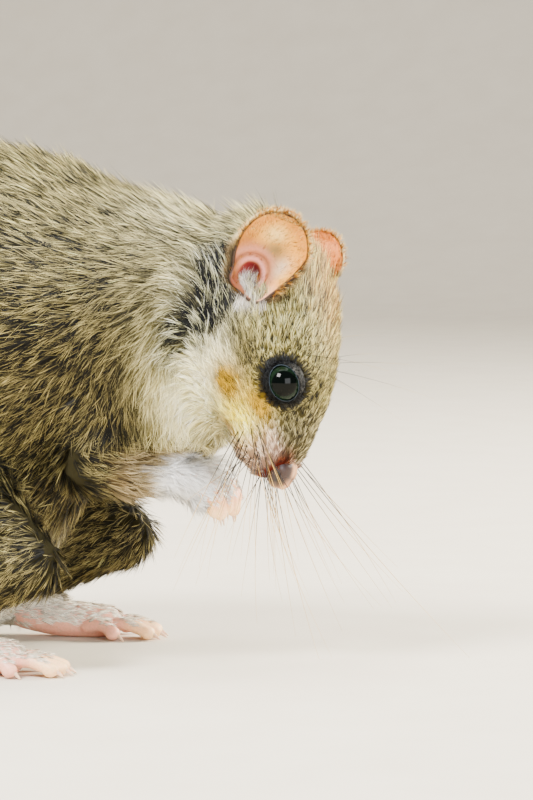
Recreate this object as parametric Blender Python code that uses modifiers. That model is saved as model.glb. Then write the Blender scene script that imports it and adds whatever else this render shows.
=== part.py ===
"""Edible dormouse (Glis glis), a still life-size model.

It sits hunched on its haunches with the head bowed and both forepaws held under the chin,
facing +X and resting on the floor at Z = 0. The origin is the middle of the flat under the rump.
The torso, neck and head are one lofted body that is parted with thin plane cuts. Each limb, ear,
eye and tail length is a closed solid of its own that meets the body across a thin gap.
"""
import math

import bmesh
import bpy
import numpy as np
from mathutils import Matrix, Vector

MM = 0.001

# Driving sizes, in millimetres. Lengths of body parts are those of an adult of the species.
SEAT = (-10.0, 0.0, 0.0)     # middle of the flat under the rump, which becomes the origin
GAP = 0.3                    # clear space between neighbouring solids
BLOCK = 400.0                # side of the block that cuts along a plane
HEAD_LENGTH = 38.4           # back of the head to the tip of the nose, coat included
HEAD_ORIGIN = (46.1, 2.5, 65.8)
HEAD_PITCH = 70.0            # degrees that the face points below the horizon
HEAD_YAW = 12.0              # degrees that the face turns to the right side
HEAD_ROLL = -4.0             # degrees that the crown leans to the right side
EYE_PLACE = (25.6, 3.6, 7.6)   # along the head, above its axis, out from its middle
EYE_RADIUS = 3.1
LID_RISE = 0.9               # height of the lids' rim above the middle of the eye
LID_RADIUS = 3.4
LID_THICKNESS = 0.85
MOUTH_LEVEL = -6.9           # height of the mouth line under the nose
MOUTH_SLIT = 0.44
EAR_ROOT = {-1: (13.4, 3.6, 12.6), 1: (10.4, 4.2, 12.0)}
EAR_TIP = {-1: (3.1, 13.3, 16.9), 1: (-0.4, 11.8, 12.4)}   # the right ear is pricked, the left one turned back
EAR_WIDTH = 12.0
EAR_DEPTH = 4.2
EAR_NOTCH = 0.42             # how far the front edge draws in towards the root
EAR_THICKNESS = 0.7
FOOT_HEIGHT = 6.9            # height of the cut between shank and hind foot
WHISKER_LENGTH = 33.0
WHISKER_ROWS = 3
WHISKERS_A_ROW = 4
TAIL_LENGTH = 128.0
TAIL_STRAIGHT = 12.0
TAIL_BEND_RADIUS = 46.0
TAIL_ROOT = (-24.0, 0.0)
TAIL_PARTS = 3
TAIL_ROW_STEP = 10.6
TAIL_CORE_WIDTH = 7.0        # half width of the tail inside its long hair
TAIL_CORE_HEIGHT = 4.7
TAIL_TIP_LOCK = 24.5         # length of the locks that fan out over the end of the tail

COAT_GREY = (0.33, 0.31, 0.27)
SKIN_PINK = (0.78, 0.50, 0.42)
EYE_BLACK = (0.01, 0.012, 0.012)
NOSE_PINK = (0.45, 0.25, 0.22)

parts = None


def clear_scene():
    """Removes the startup objects and makes the collection that holds the model."""
    global parts
    for old in list(bpy.data.objects):
        bpy.data.objects.remove(old)
    parts = bpy.data.collections.new("edible_dormouse")
    bpy.context.scene.collection.children.link(parts)


def material(name, colour, roughness):
    """A Principled BSDF with one plain colour."""
    found = bpy.data.materials.get(name)
    if found:
        return found
    made = bpy.data.materials.new(name)
    made.use_nodes = True
    shader = made.node_tree.nodes["Principled BSDF"]
    shader.inputs["Base Color"].default_value = (*colour, 1)
    shader.inputs["Roughness"].default_value = roughness
    shader.inputs["Metallic"].default_value = 0
    return made


def metres(points):
    """Points in millimetres as points in metres from the seat."""
    return (np.asarray(points, float) - SEAT) * MM


def add_mesh(name, points, faces):
    """A mesh object from points in millimetres."""
    mesh = bpy.data.meshes.new(name)
    mesh.from_pydata(metres(points).tolist(), [], faces)
    made = bpy.data.objects.new(name, mesh)
    parts.objects.link(made)
    return made


def smooth_line(points, count):
    """A Catmull-Rom curve through the points, read at count even steps."""
    p = np.asarray(points, float)
    p = np.vstack([2 * p[0] - p[1], p, 2 * p[-1] - p[-2]])
    s = np.linspace(0, len(p) - 3 - 1e-9, count)
    i = s.astype(int)
    t = (s - i)[:, None]
    a, b, c, d = p[i], p[i + 1], p[i + 2], p[i + 3]
    return 0.5 * (2 * b + (c - a) * t + (2 * a - 5 * b + 4 * c - d) * t**2
                  + (3 * b - a - 3 * c + d) * t**3)


def loft(name, rings, first, last):
    """A closed skin over rings of equal point counts, with a pole at each end."""
    count, around = rings.shape[:2]
    points = np.vstack([rings.reshape(-1, 3), [first], [last]])
    start = len(points) - 2
    faces = []
    for k in range(count - 1):
        for j in range(around):
            n = (j + 1) % around
            faces.append((k * around + j, k * around + n, (k + 1) * around + n, (k + 1) * around + j))
    top = (count - 1) * around
    for j in range(around):
        n = (j + 1) % around
        faces.append((n, j, start))
        faces.append((top + j, top + n, start + 1))
    made = add_mesh(name, points, faces)
    face_out(made)
    return made


def face_out(obj):
    """Turns every face of a closed mesh outwards."""
    work = bmesh.new()
    work.from_mesh(obj.data)
    bmesh.ops.recalc_face_normals(work, faces=work.faces)
    work.to_mesh(obj.data)
    work.free()


def tube(name, stations, around=12, flat=(1.0, 1.0), up=(0, 0, 1), steps=10):
    """A round-ended tube along stations of (x, y, z, radius), squashed by flat across and along up."""
    line = smooth_line(stations, steps)
    centre, radius = line[:, :3], line[:, 3]
    ahead = np.gradient(centre, axis=0)
    ahead /= np.linalg.norm(ahead, axis=1)[:, None]
    rings = []
    angle = np.linspace(0, 2 * np.pi, around, endpoint=False)

    def ring(c, d, r):
        side = np.cross(d, up)
        side /= np.linalg.norm(side)
        lift = np.cross(side, d)
        return c + r * (np.cos(angle)[:, None] * side * flat[0] + np.sin(angle)[:, None] * lift * flat[1])

    for turn in (65, 35):
        t = math.radians(turn)
        rings.append(ring(centre[0] - ahead[0] * radius[0] * math.sin(t), ahead[0], radius[0] * math.cos(t)))
    for c, d, r in zip(centre, ahead, radius):
        rings.append(ring(c, d, r))
    for turn in (35, 65):
        t = math.radians(turn)
        rings.append(ring(centre[-1] + ahead[-1] * radius[-1] * math.sin(t), ahead[-1],
                          radius[-1] * math.cos(t)))
    return loft(name, np.array(rings), centre[0] - ahead[0] * radius[0], centre[-1] + ahead[-1] * radius[-1])


def apply_modifiers(obj):
    """Replaces the object's mesh by its evaluated one."""
    graph = bpy.context.evaluated_depsgraph_get()
    made = bpy.data.meshes.new_from_object(obj.evaluated_get(graph), depsgraph=graph)
    old = obj.data
    obj.modifiers.clear()
    obj.data = made
    bpy.data.meshes.remove(old)


def count_triangles(obj):
    return sum(len(p.vertices) - 2 for p in obj.data.polygons)


def melt(name, pieces, voxel, smoothing):
    """Runs overlapping closed pieces together into one smooth closed body."""
    work = bmesh.new()
    for piece in pieces:
        work.from_mesh(piece.data)
    mesh = bpy.data.meshes.new(name)
    work.to_mesh(mesh)
    work.free()
    for piece in pieces:
        bpy.data.objects.remove(piece)
    made = bpy.data.objects.new(name, mesh)
    parts.objects.link(made)
    remesh = made.modifiers.new("one_skin", "REMESH")
    remesh.mode = "VOXEL"
    remesh.voxel_size = voxel * MM
    soften = made.modifiers.new("soften", "SMOOTH")
    soften.factor = 0.5
    soften.iterations = smoothing
    apply_modifiers(made)
    return made


def thinned(obj, name, triangles):
    """A copy of the object with about that many triangles."""
    made = bpy.data.objects.new(name, obj.data.copy())
    parts.objects.link(made)
    fewer = made.modifiers.new("fewer", "DECIMATE")
    fewer.ratio = triangles / count_triangles(obj)
    fewer.use_collapse_triangulate = True
    apply_modifiers(made)
    return made


def keep_largest(obj):
    """Keeps only the largest closed surface of the mesh."""
    work = bmesh.new()
    work.from_mesh(obj.data)
    left = set(work.faces)
    best, best_size = None, -1.0
    while left:
        stack = [left.pop()]
        island = [stack[0]]
        while stack:
            for edge in stack.pop().edges:
                for face in edge.link_faces:
                    if face in left:
                        left.discard(face)
                        stack.append(face)
                        island.append(face)
        size = sum(face.calc_area() for face in island)
        if size > best_size:
            best, best_size = island, size
    kept = set(best)
    bmesh.ops.delete(work, geom=[f for f in work.faces if f not in kept], context="FACES")
    work.to_mesh(obj.data)
    work.free()


def cut_plane(obj, point, normal):
    """Cuts off what lies beyond a plane on its normal's side, with a large block set against it."""
    mesh = bpy.data.meshes.new("block")
    work = bmesh.new()
    bmesh.ops.create_cube(work, size=BLOCK * MM)
    turn = Vector(normal).to_track_quat("Z", "Y").to_matrix().to_4x4()
    place = Matrix.Translation(Vector(metres(point))) @ turn @ Matrix.Translation((0, 0, BLOCK * MM / 2))
    bmesh.ops.transform(work, matrix=place, verts=work.verts)
    work.to_mesh(mesh)
    work.free()
    block = bpy.data.objects.new("block", mesh)
    parts.objects.link(block)
    boolean(obj, block, "DIFFERENCE")
    bpy.data.objects.remove(block)


def boolean(obj, other, operation):
    """Applies one Boolean of a mesh object."""
    step = obj.modifiers.new(operation, "BOOLEAN")
    step.operation = operation
    step.solver = "MANIFOLD"
    step.object = other
    apply_modifiers(obj)


def join_all(name, pieces):
    """One Boolean union of the first piece with a collection of all the others."""
    base = pieces[0]
    base.name = name
    others = bpy.data.collections.new(name + "_pieces")
    bpy.context.scene.collection.children.link(others)
    for piece in pieces[1:]:
        parts.objects.unlink(piece)
        others.objects.link(piece)
    step = base.modifiers.new("join", "BOOLEAN")
    step.operation = "UNION"
    step.solver = "MANIFOLD"
    step.operand_type = "COLLECTION"
    step.collection = others
    apply_modifiers(base)
    for piece in list(others.objects):
        bpy.data.objects.remove(piece)
    bpy.data.collections.remove(others)
    keep_largest(base)
    return base


def grown(obj, by):
    """A copy of the object with every point moved out by a distance in millimetres."""
    made = bpy.data.objects.new(obj.name + "_grown", obj.data.copy())
    parts.objects.link(made)
    work = bmesh.new()
    work.from_mesh(made.data)
    work.normal_update()
    moves = [v.normal * by * MM for v in work.verts]
    for vert, move in zip(work.verts, moves):
        vert.co += move
    work.to_mesh(made.data)
    work.free()
    return made


def clear_of(obj, neighbours, gap=GAP):
    """Cuts the object back so that a gap is left to each neighbour."""
    for neighbour in neighbours:
        cutter = grown(neighbour, gap)
        boolean(obj, cutter, "DIFFERENCE")
        bpy.data.objects.remove(cutter)
    keep_largest(obj)


def rest_on_floor(obj):
    """Cuts the underside flat at the floor."""
    cut_plane(obj, (0, 0, 0), (0, 0, -1))
    keep_largest(obj)


def finish(obj, name, colour_name, colour, roughness=0.9):
    """Names the node, gives it its material and shades it."""
    obj.name = name
    obj.data.name = name
    obj.data.materials.clear()
    obj.data.materials.append(material(colour_name, colour, roughness))
    obj.data.shade_smooth()
    obj.data.set_sharp_from_angle(angle=math.radians(40))


def head_axes():
    """The head's own axes as rows: forward to the nose, up to the crown, out to its left."""
    p, y, r = (math.radians(x) for x in (HEAD_PITCH, HEAD_YAW, HEAD_ROLL))
    ahead = np.array([math.cos(p), 0, -math.sin(p)])
    up = np.array([math.sin(p), 0, math.cos(p)])
    left = np.array([0.0, 1.0, 0.0])
    ahead, left = (ahead * math.cos(y) - left * math.sin(y), left * math.cos(y) + ahead * math.sin(y))
    up, left = up * math.cos(r) - left * math.sin(r), left * math.cos(r) + up * math.sin(r)
    return np.array([ahead, up, left])


HEAD_AXES = head_axes()


def head_point(along, above, out):
    """A place on the head as a point of the model."""
    return np.asarray(HEAD_ORIGIN) + np.stack(np.broadcast_arrays(along, above, out), axis=-1) @ HEAD_AXES


def head_direction(along, above, out):
    return np.array([along, above, out]) @ HEAD_AXES


# Torso, neck and head

# Each row holds the back's outline, the belly's outline and the half width there, rump to nape.
TRUNK = np.array([
    # back x, z     belly x, z     half width
    (-24.0, 10.0, -20.0, 1.5, 7.0),
    (-29.0, 22.0, -15.0, -0.9, 16.5),
    (-29.5, 38.0, -4.0, -0.9, 23.0),
    (-25.0, 55.0, 7.0, 5.0, 26.2),
    (-15.0, 71.0, 15.0, 13.0, 27.0),
    (-1.0, 81.6, 20.0, 20.0, 26.4),
    (15.0, 81.3, 25.5, 26.5, 24.4),
    (29.0, 76.2, 32.0, 30.3, 21.4),
    (40.0, 73.4, 39.5, 31.4, 18.6),
    (48.0, 70.8, 45.5, 34.8, 15.4),
    (52.5, 65.5, 50.0, 44.0, 11.0),
])

# Each row is one section of the head: place along it, crown, throat, half width, height of the widest part.
HEAD = np.array([
    (-3.0, 8.6, -3.0, 8.0, 2.0),
    (0.0, 10.8, -6.0, 11.4, 2.0),
    (5.0, 12.6, -8.6, 13.4, 1.6),
    (10.0, 13.6, -9.4, 13.8, 1.2),
    (15.5, 13.2, -9.4, 13.0, 1.0),
    (20.5, 11.7, -9.1, 11.6, 0.6),
    (25.5, 9.3, -8.9, 9.7, -0.8),
    (29.5, 6.8, -8.7, 8.0, -2.4),
    (32.7, 4.5, -8.4, 7.1, -3.4),
    (35.0, 2.6, -7.5, 6.0, -3.4),
    (37.0, 0.4, -6.5, 4.3, -3.1),
])


def trunk_body():
    """The torso and neck, lofted through rings that stand across the bent back."""
    rows = smooth_line(TRUNK, 30)
    angle = np.linspace(0, 2 * np.pi, 32, endpoint=False)
    rings = []
    for back_x, back_z, belly_x, belly_z, half_width in rows:
        back = np.array([back_x, 0, back_z])
        belly = np.array([belly_x, 0, belly_z])
        middle = (back + belly) / 2
        rings.append(middle + np.outer(np.cos(angle), (back - belly) / 2)
                     + np.outer(np.sin(angle), (0, half_width, 0)))
    first = np.array([-24.5, 0, 4.5])
    last = np.array([53.5, 1.0, 55.0])
    return loft("trunk", np.array(rings), first, last)


def head_body():
    """The head, lofted along its own axis with a fuller cheek below than above."""
    rows = smooth_line(HEAD, 24)
    angle = np.linspace(0, 2 * np.pi, 32, endpoint=False)
    cosine, sine = np.cos(angle), np.sin(angle)
    rings = []
    for along, crown, throat, half_width, level in rows:
        rise = np.where(cosine > 0, crown - level, level - throat)
        above = level + rise * cosine
        out = half_width * np.sign(sine) * np.abs(sine) ** 0.92
        rings.append(head_point(np.full_like(above, along), above, out))
    return loft("skull", np.array(rings), head_point(-5.5, 3.5, 0), head_point(HEAD_LENGTH, -3.2, 0))


def side(value, mirror):
    """A place on the left side, or its mirror on the right."""
    along, above, out = value
    return along, above, out * mirror


def eyelids(mirror):
    """A rim of skin around the eye, as a torus that faces the way the eye looks."""
    gaze = gaze_direction(mirror)
    centre = head_point(*side(EYE_PLACE, mirror)) + gaze * LID_RISE
    across = np.cross(gaze, HEAD_AXES[1])
    across /= np.linalg.norm(across)
    lift = np.cross(across, gaze)
    turn = np.linspace(0, 2 * np.pi, 8, endpoint=False)[:, None]
    rings = []
    for angle in np.linspace(0, 2 * np.pi, 24, endpoint=False):
        outward = math.cos(angle) * across + math.sin(angle) * lift
        rings.append(centre + LID_RADIUS * outward
                     + LID_THICKNESS * (np.cos(turn) * outward + np.sin(turn) * gaze))
    rings = np.array(rings)
    count, around = rings.shape[:2]
    faces = [(k * around + j, k * around + (j + 1) % around,
              (k + 1) % count * around + (j + 1) % around, (k + 1) % count * around + j)
             for k in range(count) for j in range(around)]
    made = add_mesh("lid", rings.reshape(-1, 3), faces)
    face_out(made)
    return made


def gaze_direction(mirror):
    """The way that an eye looks: outwards, a little ahead and up."""
    way = head_direction(0.32, 0.22, 0.92 * mirror)
    return way / np.linalg.norm(way)


def ball(name, centre, radius, rings=10, segments=16):
    """A sphere primitive at a point in millimetres."""
    mesh = bpy.data.meshes.new(name)
    work = bmesh.new()
    bmesh.ops.create_uvsphere(work, u_segments=segments, v_segments=rings, radius=radius * MM)
    work.to_mesh(mesh)
    work.free()
    mesh.transform(Matrix.Translation(Vector(metres(centre))))
    made = bpy.data.objects.new(name, mesh)
    parts.objects.link(made)
    return made


def whisker_pad_bulge(mirror):
    """The swollen lip that the whiskers grow from."""
    return tube("pad", [(*head_point(29.5, -4.6, 4.9 * mirror), 2.6), (*head_point(32.8, -4.2, 4.3 * mirror), 3.1),
                        (*head_point(35.0, -4.1, 2.6 * mirror), 2.6)])


def chin_bulge():
    """The lower lip and chin, set back under the upper lip."""
    return tube("chin", [(*head_point(26.0, -7.4, 0), 2.9), (*head_point(30.2, -8.0, 0), 2.3),
                         (*head_point(32.0, -7.8, 0), 1.5)])


def cheek_bulge(mirror):
    """The full cheek under and behind the eye."""
    return tube("cheek", [(*head_point(14.0, -2.5, 7.5 * mirror), 6.0), (*head_point(21.0, -3.6, 5.8 * mirror), 5.4),
                          (*head_point(26.0, -4.6, 4.6 * mirror), 4.2)])


def mouth_cutter():
    """A thin bent plate that cuts the line of the mouth around the muzzle, corner to corner."""
    rings = []
    for turn in np.radians(np.linspace(-104, 104, 25)):
        level = MOUTH_LEVEL - 0.6 * (1 - math.cos(turn))
        inner = np.array([27.6 + 4.9 * math.cos(turn), level, 4.4 * math.sin(turn)])
        outer = np.array([27.6 + 9.6 * math.cos(turn), level, 10.5 * math.sin(turn)])
        half = np.array([0, MOUTH_SLIT / 2, 0])
        rings.append([head_point(*place) for place in (inner - half, outer - half, outer + half, inner + half)])
    rings = np.array(rings)
    return loft("mouth", rings, rings[0].mean(0), rings[-1].mean(0))


def nose_pad():
    """The bare nose pad, still without nostrils."""
    return tube("nose", [(*head_point(35.2, -1.6, 0), 2.2), (*head_point(36.9, -2.1, 0), 2.5),
                         (*head_point(37.8, -2.7, 0), 2.3)], around=16, flat=(1.12, 0.88),
                up=tuple(HEAD_AXES[1]), steps=6)


def cut_nostrils(pad):
    """Sinks a nostril into each side of the nose pad."""
    for mirror in (1, -1):
        hole = tube("nostril", [(*head_point(40.2, -3.3, 1.2 * mirror), 0.5),
                                (*head_point(38.5, -2.9, 1.7 * mirror), 0.55),
                                (*head_point(37.3, -2.1, 2.9 * mirror), 0.45)], around=8, steps=5)
        boolean(pad, hole, "DIFFERENCE")
        bpy.data.objects.remove(hole)
    keep_largest(pad)


NECK_FRONT = (44.0, 0, 58.0)          # a point of the cut between neck and head
NECK_FRONT_NORMAL = (0.97, 0, -0.25)
NECK_BACK = (27.5, 0, 57.0)           # a point of the cut between torso and neck
NECK_BACK_NORMAL = (0.976, 0, 0.219)


def make_body():
    """Builds torso, neck and head from one melted body. Returns the three nodes."""
    pieces = [trunk_body(), head_body(), chin_bulge()]
    for mirror in (1, -1):
        pieces += [eyelids(mirror), whisker_pad_bulge(mirror), cheek_bulge(mirror)]
    whole = melt("whole", pieces, voxel=0.6, smoothing=4)
    torso = thinned(whole, "torso", 2200)
    neck = thinned(whole, "neck", 2500)
    head = thinned(whole, "head", 3950)
    bpy.data.objects.remove(whole)
    front = np.array(NECK_FRONT_NORMAL)
    back = np.array(NECK_BACK_NORMAL)
    cut_plane(torso, np.array(NECK_BACK) - back * GAP / 2, back)
    cut_plane(neck, np.array(NECK_BACK) + back * GAP / 2, -back)
    cut_plane(neck, np.array(NECK_FRONT) - front * GAP / 2, front)
    cut_plane(head, np.array(NECK_FRONT) + front * GAP / 2, -front)
    rest_on_floor(torso)
    return torso, neck, head


def make_face(head):
    """Cuts the mouth, eye sockets and nose seat into the head. Returns eyes and nose."""
    mouth = mouth_cutter()
    boolean(head, mouth, "DIFFERENCE")
    bpy.data.objects.remove(mouth)
    nose = nose_pad()
    clear_of(head, [nose])
    cut_nostrils(nose)
    eyes = []
    for mirror in (1, -1):
        eye = ball("eye", head_point(*side(EYE_PLACE, mirror)), EYE_RADIUS)
        clear_of(head, [eye])
        eyes.append(eye)
    keep_largest(head)
    return eyes, nose


# Ears

def ear_shell(mirror):
    """The cup of an ear: an oval spoon, deepest below its middle, thickened to a thin wall."""
    root = head_point(*side(EAR_ROOT[mirror], mirror))
    tip = head_point(*side(EAR_TIP[mirror], mirror))
    axis = tip - root
    length = np.linalg.norm(axis)
    axis /= length
    opening = head_direction(0.40, 0.20, 0.89 * mirror)
    opening -= axis * (opening @ axis)
    opening /= np.linalg.norm(opening)
    across = np.cross(axis, opening)
    height = (1 - np.cos(np.linspace(0.12, np.pi, 11)))[:, None] / 2
    spread = np.linspace(-1, 1, 11)[None, :]
    oval = np.maximum(np.sqrt(np.clip(1 - (2 * height - 1) ** 2, 0, 1)), 0.07)
    half = EAR_WIDTH / 2 * oval * (0.86 + 0.14 * height)
    low = np.clip((0.62 - height) / 0.5, 0, 1)
    half = half * (1 - EAR_NOTCH * low * np.clip(-mirror * spread, 0, 1))
    depth = EAR_DEPTH * np.sin(np.pi * np.clip(height + 0.08, 0, 1)) ** 0.7 * (1.15 - 0.55 * height)
    points = (root + (height * length)[..., None] * axis + (half * spread)[..., None] * across
              + (depth * (spread**2 - 1))[..., None] * opening)
    count = points.shape[1]
    faces = [(k * count + j, k * count + j + 1, (k + 1) * count + j + 1, (k + 1) * count + j)
             for k in range(points.shape[0] - 1) for j in range(count - 1)]
    made = add_mesh("ear", points.reshape(-1, 3), faces)
    wall = made.modifiers.new("wall", "SOLIDIFY")
    wall.thickness = EAR_THICKNESS * MM
    wall.offset = 0
    apply_modifiers(made)
    face_out(made)
    return made


def filled_outline(obj):
    """The convex body around an object's points."""
    mesh = bpy.data.meshes.new(obj.name + "_filled")
    work = bmesh.new()
    for vert in obj.data.vertices:
        work.verts.new(vert.co)
    hull = bmesh.ops.convex_hull(work, input=work.verts)
    inner = {g for g in hull["geom_interior"] + hull["geom_unused"] if isinstance(g, bmesh.types.BMVert)}
    bmesh.ops.delete(work, geom=list(inner), context="VERTS")
    work.to_mesh(mesh)
    work.free()
    made = bpy.data.objects.new(mesh.name, mesh)
    parts.objects.link(made)
    face_out(made)
    return made


def make_ear(mirror, neighbours):
    """Builds an ear and sinks its bowl into its neighbours, which are cut clear of its filled outline."""
    ear = ear_shell(mirror)
    filled = filled_outline(ear)
    for neighbour in neighbours:
        clear_of(neighbour, [filled])
    bpy.data.objects.remove(filled)
    return ear


# Limbs

def digits(roots, tips, radii, drop):
    """Fingers or toes as short bent tubes from root to tip, raised in the middle by drop."""
    made = []
    for root, tip, radius in zip(roots, tips, radii):
        root, tip = np.array(root, float), np.array(tip, float)
        middle = (root + tip) / 2 + np.array(drop)
        made.append(tube("digit", [(*root, radius * 1.1), (*middle, radius), (*tip, radius * 0.95)],
                         around=8, steps=5))
    return made


def claws(roots, tips, length, radius):
    """Small pointed claws that carry on from the digits and curve down."""
    made = []
    for root, tip in zip(roots, tips):
        root, tip = np.array(root, float), np.array(tip, float)
        way = (tip - root) / np.linalg.norm(tip - root)
        start = tip + way * 0.2
        bend = tip + way * length * 0.62 + np.array([0, 0, -0.15])
        end = tip + way * length + np.array([0, 0, -0.55])
        line = np.array([start, bend])
        turn = np.linspace(0, 2 * np.pi, 5, endpoint=False)[:, None]
        across = np.cross(way, (0, 0, 1.0))
        across /= np.linalg.norm(across)
        lift = np.cross(across, way)
        rings = np.array([c + r * (np.cos(turn) * across + np.sin(turn) * lift)
                          for c, r in zip(line, (radius, radius * 0.7))])
        made.append(loft("claw", rings, start - way * 0.7, end))
    return made


def make_foreleg(mirror, neighbours):
    """Upper arm and forearm as one node and the forepaw with its four fingers as another."""
    elbow = np.array([26.5, 14.6 * mirror, 32.4])
    wrist = np.array([38.6, 6.7 * mirror, 29.8])
    palm = np.array([41.6, 4.7 * mirror, 28.9])
    arm = tube("arm", [(31.0, 12.0 * mirror, 48.0, 8.0), (29.5, 13.4 * mirror, 40.5, 7.4), (*elbow, 5.4)],
               around=16, flat=(1, 1), up=(1, 0, 0))
    forearm = tube("forearm", [(*elbow, 5.2), (33.2, 11.4 * mirror, 30.6, 4.4), (*wrist, 3.0), (*palm, 2.7)],
                   around=14)
    hand = tube("hand", [(*wrist, 2.9), (*palm, 3.0), (43.6, 4.2 * mirror, 27.7, 2.5)], around=12, flat=(1, 0.86))
    roots, tips = [], []
    for k in range(4):
        spread = k - 1.5
        roots.append((43.3 + 0.25 * spread, (4.2 + 1.35 * spread) * mirror, 27.6 - 0.15 * abs(spread)))
        tips.append((46.0 - 0.5 * abs(spread), (3.4 + 1.25 * spread) * mirror, 23.6 + 0.5 * abs(spread)))
    fingers = digits(roots, tips, [0.95, 1.05, 1.05, 0.95], (0.9, 0, 0.2))
    whole = melt("foreleg", [arm, forearm, hand] + fingers, voxel=0.4, smoothing=3)
    way = (palm - wrist) / np.linalg.norm(palm - wrist)
    leg = thinned(whole, "foreleg", 560)
    paw = thinned(whole, "forepaw", 1400)
    bpy.data.objects.remove(whole)
    cut_plane(leg, wrist - way * GAP / 2, way)
    cut_plane(paw, wrist + way * GAP / 2, -way)
    keep_largest(leg)
    keep_largest(paw)
    clear_of(leg, neighbours)
    clear_of(paw, neighbours)
    paw = join_all("forepaw", [paw] + claws(roots, tips, 1.7, 0.42))
    return leg, paw


def make_hindleg(mirror, body):
    """Thigh and shank folded as one node and the long hind foot with its five toes as another."""
    heel = np.array([-3.0, 19.5 * mirror, 3.6])
    ankle = np.array([2.0, 20.2 * mirror, 4.4])
    thigh = tube("thigh", [(-8.0, 17.0 * mirror, 30.0, 14.0), (4.0, 19.8 * mirror, 27.0, 14.6),
                           (16.0, 21.5 * mirror, 20.5, 9.4), (20.0, 22.0 * mirror, 18.0, 7.0)],
                 around=20, flat=(0.62, 1.0))
    shank = tube("shank", [(18.5, 22.0 * mirror, 17.5, 6.6), (8.0, 21.0 * mirror, 11.5, 5.2), (*heel, 3.4)],
                 around=14, flat=(0.85, 1.0))
    sole_end = np.array([17.5, 22.6 * mirror, 2.7])
    foot = tube("foot", [(*heel, 3.3), (*ankle, 3.5), (10.0, 21.4 * mirror, 3.1, 3.4), (*sole_end, 2.9)],
                around=14, flat=(1.18, 0.94))
    roots, tips = [], []
    reach = (5.4, 8.2, 8.6, 8.0, 4.6)
    for k in range(5):
        spread = (k - 2) * mirror
        back = 2.4 if k in (0, 4) else 0.0
        roots.append((17.6 - back, sole_end[1] + 1.55 * spread, 2.2))
        tips.append((17.6 - back + reach[k], sole_end[1] + 2.35 * spread, 1.35))
    toes = digits(roots, tips, [1.15, 1.25, 1.25, 1.2, 1.1], (0, 0, 0.7))
    whole = melt("hindleg", [thigh, shank, foot] + toes, voxel=0.5, smoothing=3)
    leg = thinned(whole, "hindleg", 820)
    sole = thinned(whole, "hindfoot", 1200)
    bpy.data.objects.remove(whole)
    way = Vector((0, 0, -1))
    place = Vector((0, 0, FOOT_HEIGHT))
    cut_plane(leg, place - way * GAP / 2, way)
    cut_plane(sole, place + way * GAP / 2, -way)
    for node in (leg, sole):
        keep_largest(node)
        clear_of(node, [body])
        rest_on_floor(node)
    sole = join_all("hindfoot", [sole] + claws(roots, tips, 2.0, 0.5))
    rest_on_floor(sole)
    return leg, sole


# Tail

def tail_place(s):
    """Centre of the tail on the floor at distance s from its root, and its heading."""
    s = np.asarray(s, float)
    turn = np.clip((s - TAIL_STRAIGHT) / TAIL_BEND_RADIUS, 0, None)
    straight = np.minimum(s, TAIL_STRAIGHT)
    x = TAIL_ROOT[0] - straight - TAIL_BEND_RADIUS * np.sin(turn)
    y = TAIL_ROOT[1] + TAIL_BEND_RADIUS * (1 - np.cos(turn))
    heading = np.stack([-np.cos(turn), np.sin(turn), 0 * turn], axis=-1)
    return x, y, heading


def tail_fullness(s):
    """Share of the brush's full width at distance s: thin at the root, full beyond, round at the tip."""
    share = np.asarray(s, float) / TAIL_LENGTH
    rise = np.clip(share / 0.30, 0, 1)
    return 0.52 + 0.48 * rise * rise * (3 - 2 * rise)



def tail_core():
    """The inner body of the tail, flat-bottomed on the floor."""
    s = np.linspace(0, TAIL_LENGTH - 16, 22)
    x, y, heading = tail_place(s)
    full = tail_fullness(s)
    angle = np.linspace(0, 2 * np.pi, 12, endpoint=False)[:, None]
    rings = []
    for k in range(len(s)):
        end = math.sqrt(max(0.0, 1 - max(0.0, (s[k] - 92) / 24) ** 2))
        half, high = TAIL_CORE_WIDTH * full[k] * end, TAIL_CORE_HEIGHT * full[k] * end
        across = np.cross(heading[k], (0, 0, 1))
        centre = np.array([x[k], y[k], high - 0.4 + 3.4 * (1 - min(1, s[k] / 20))])
        rings.append(centre + half * np.cos(angle) * across + high * np.sin(angle) * np.array([0, 0, 1]))
    rings = np.array(rings)
    end_x, end_y, end_heading = tail_place(TAIL_LENGTH - 13)
    last = np.array([float(end_x), float(end_y), 2.0])
    return loft("tail", rings, rings[0].mean(0), last)


def lock(root, way, lift, length, width, thick, curl):
    """A flat tapered lock of hair that bends as it goes: three thin sections and a point."""
    across = np.cross(way, lift)
    across /= np.linalg.norm(across)
    rings = []
    for t, share in ((0.0, 0.7), (0.4, 1.0), (0.75, 0.66)):
        centre = root + way * length * t + curl * t * t
        rings.append([centre + across * width / 2 * share, centre + lift * thick / 2,
                      centre - across * width / 2 * share, centre - lift * thick / 2])
    rings = np.array(rings)
    return loft("lock", rings, rings[0].mean(0), root + way * length + curl)


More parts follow.
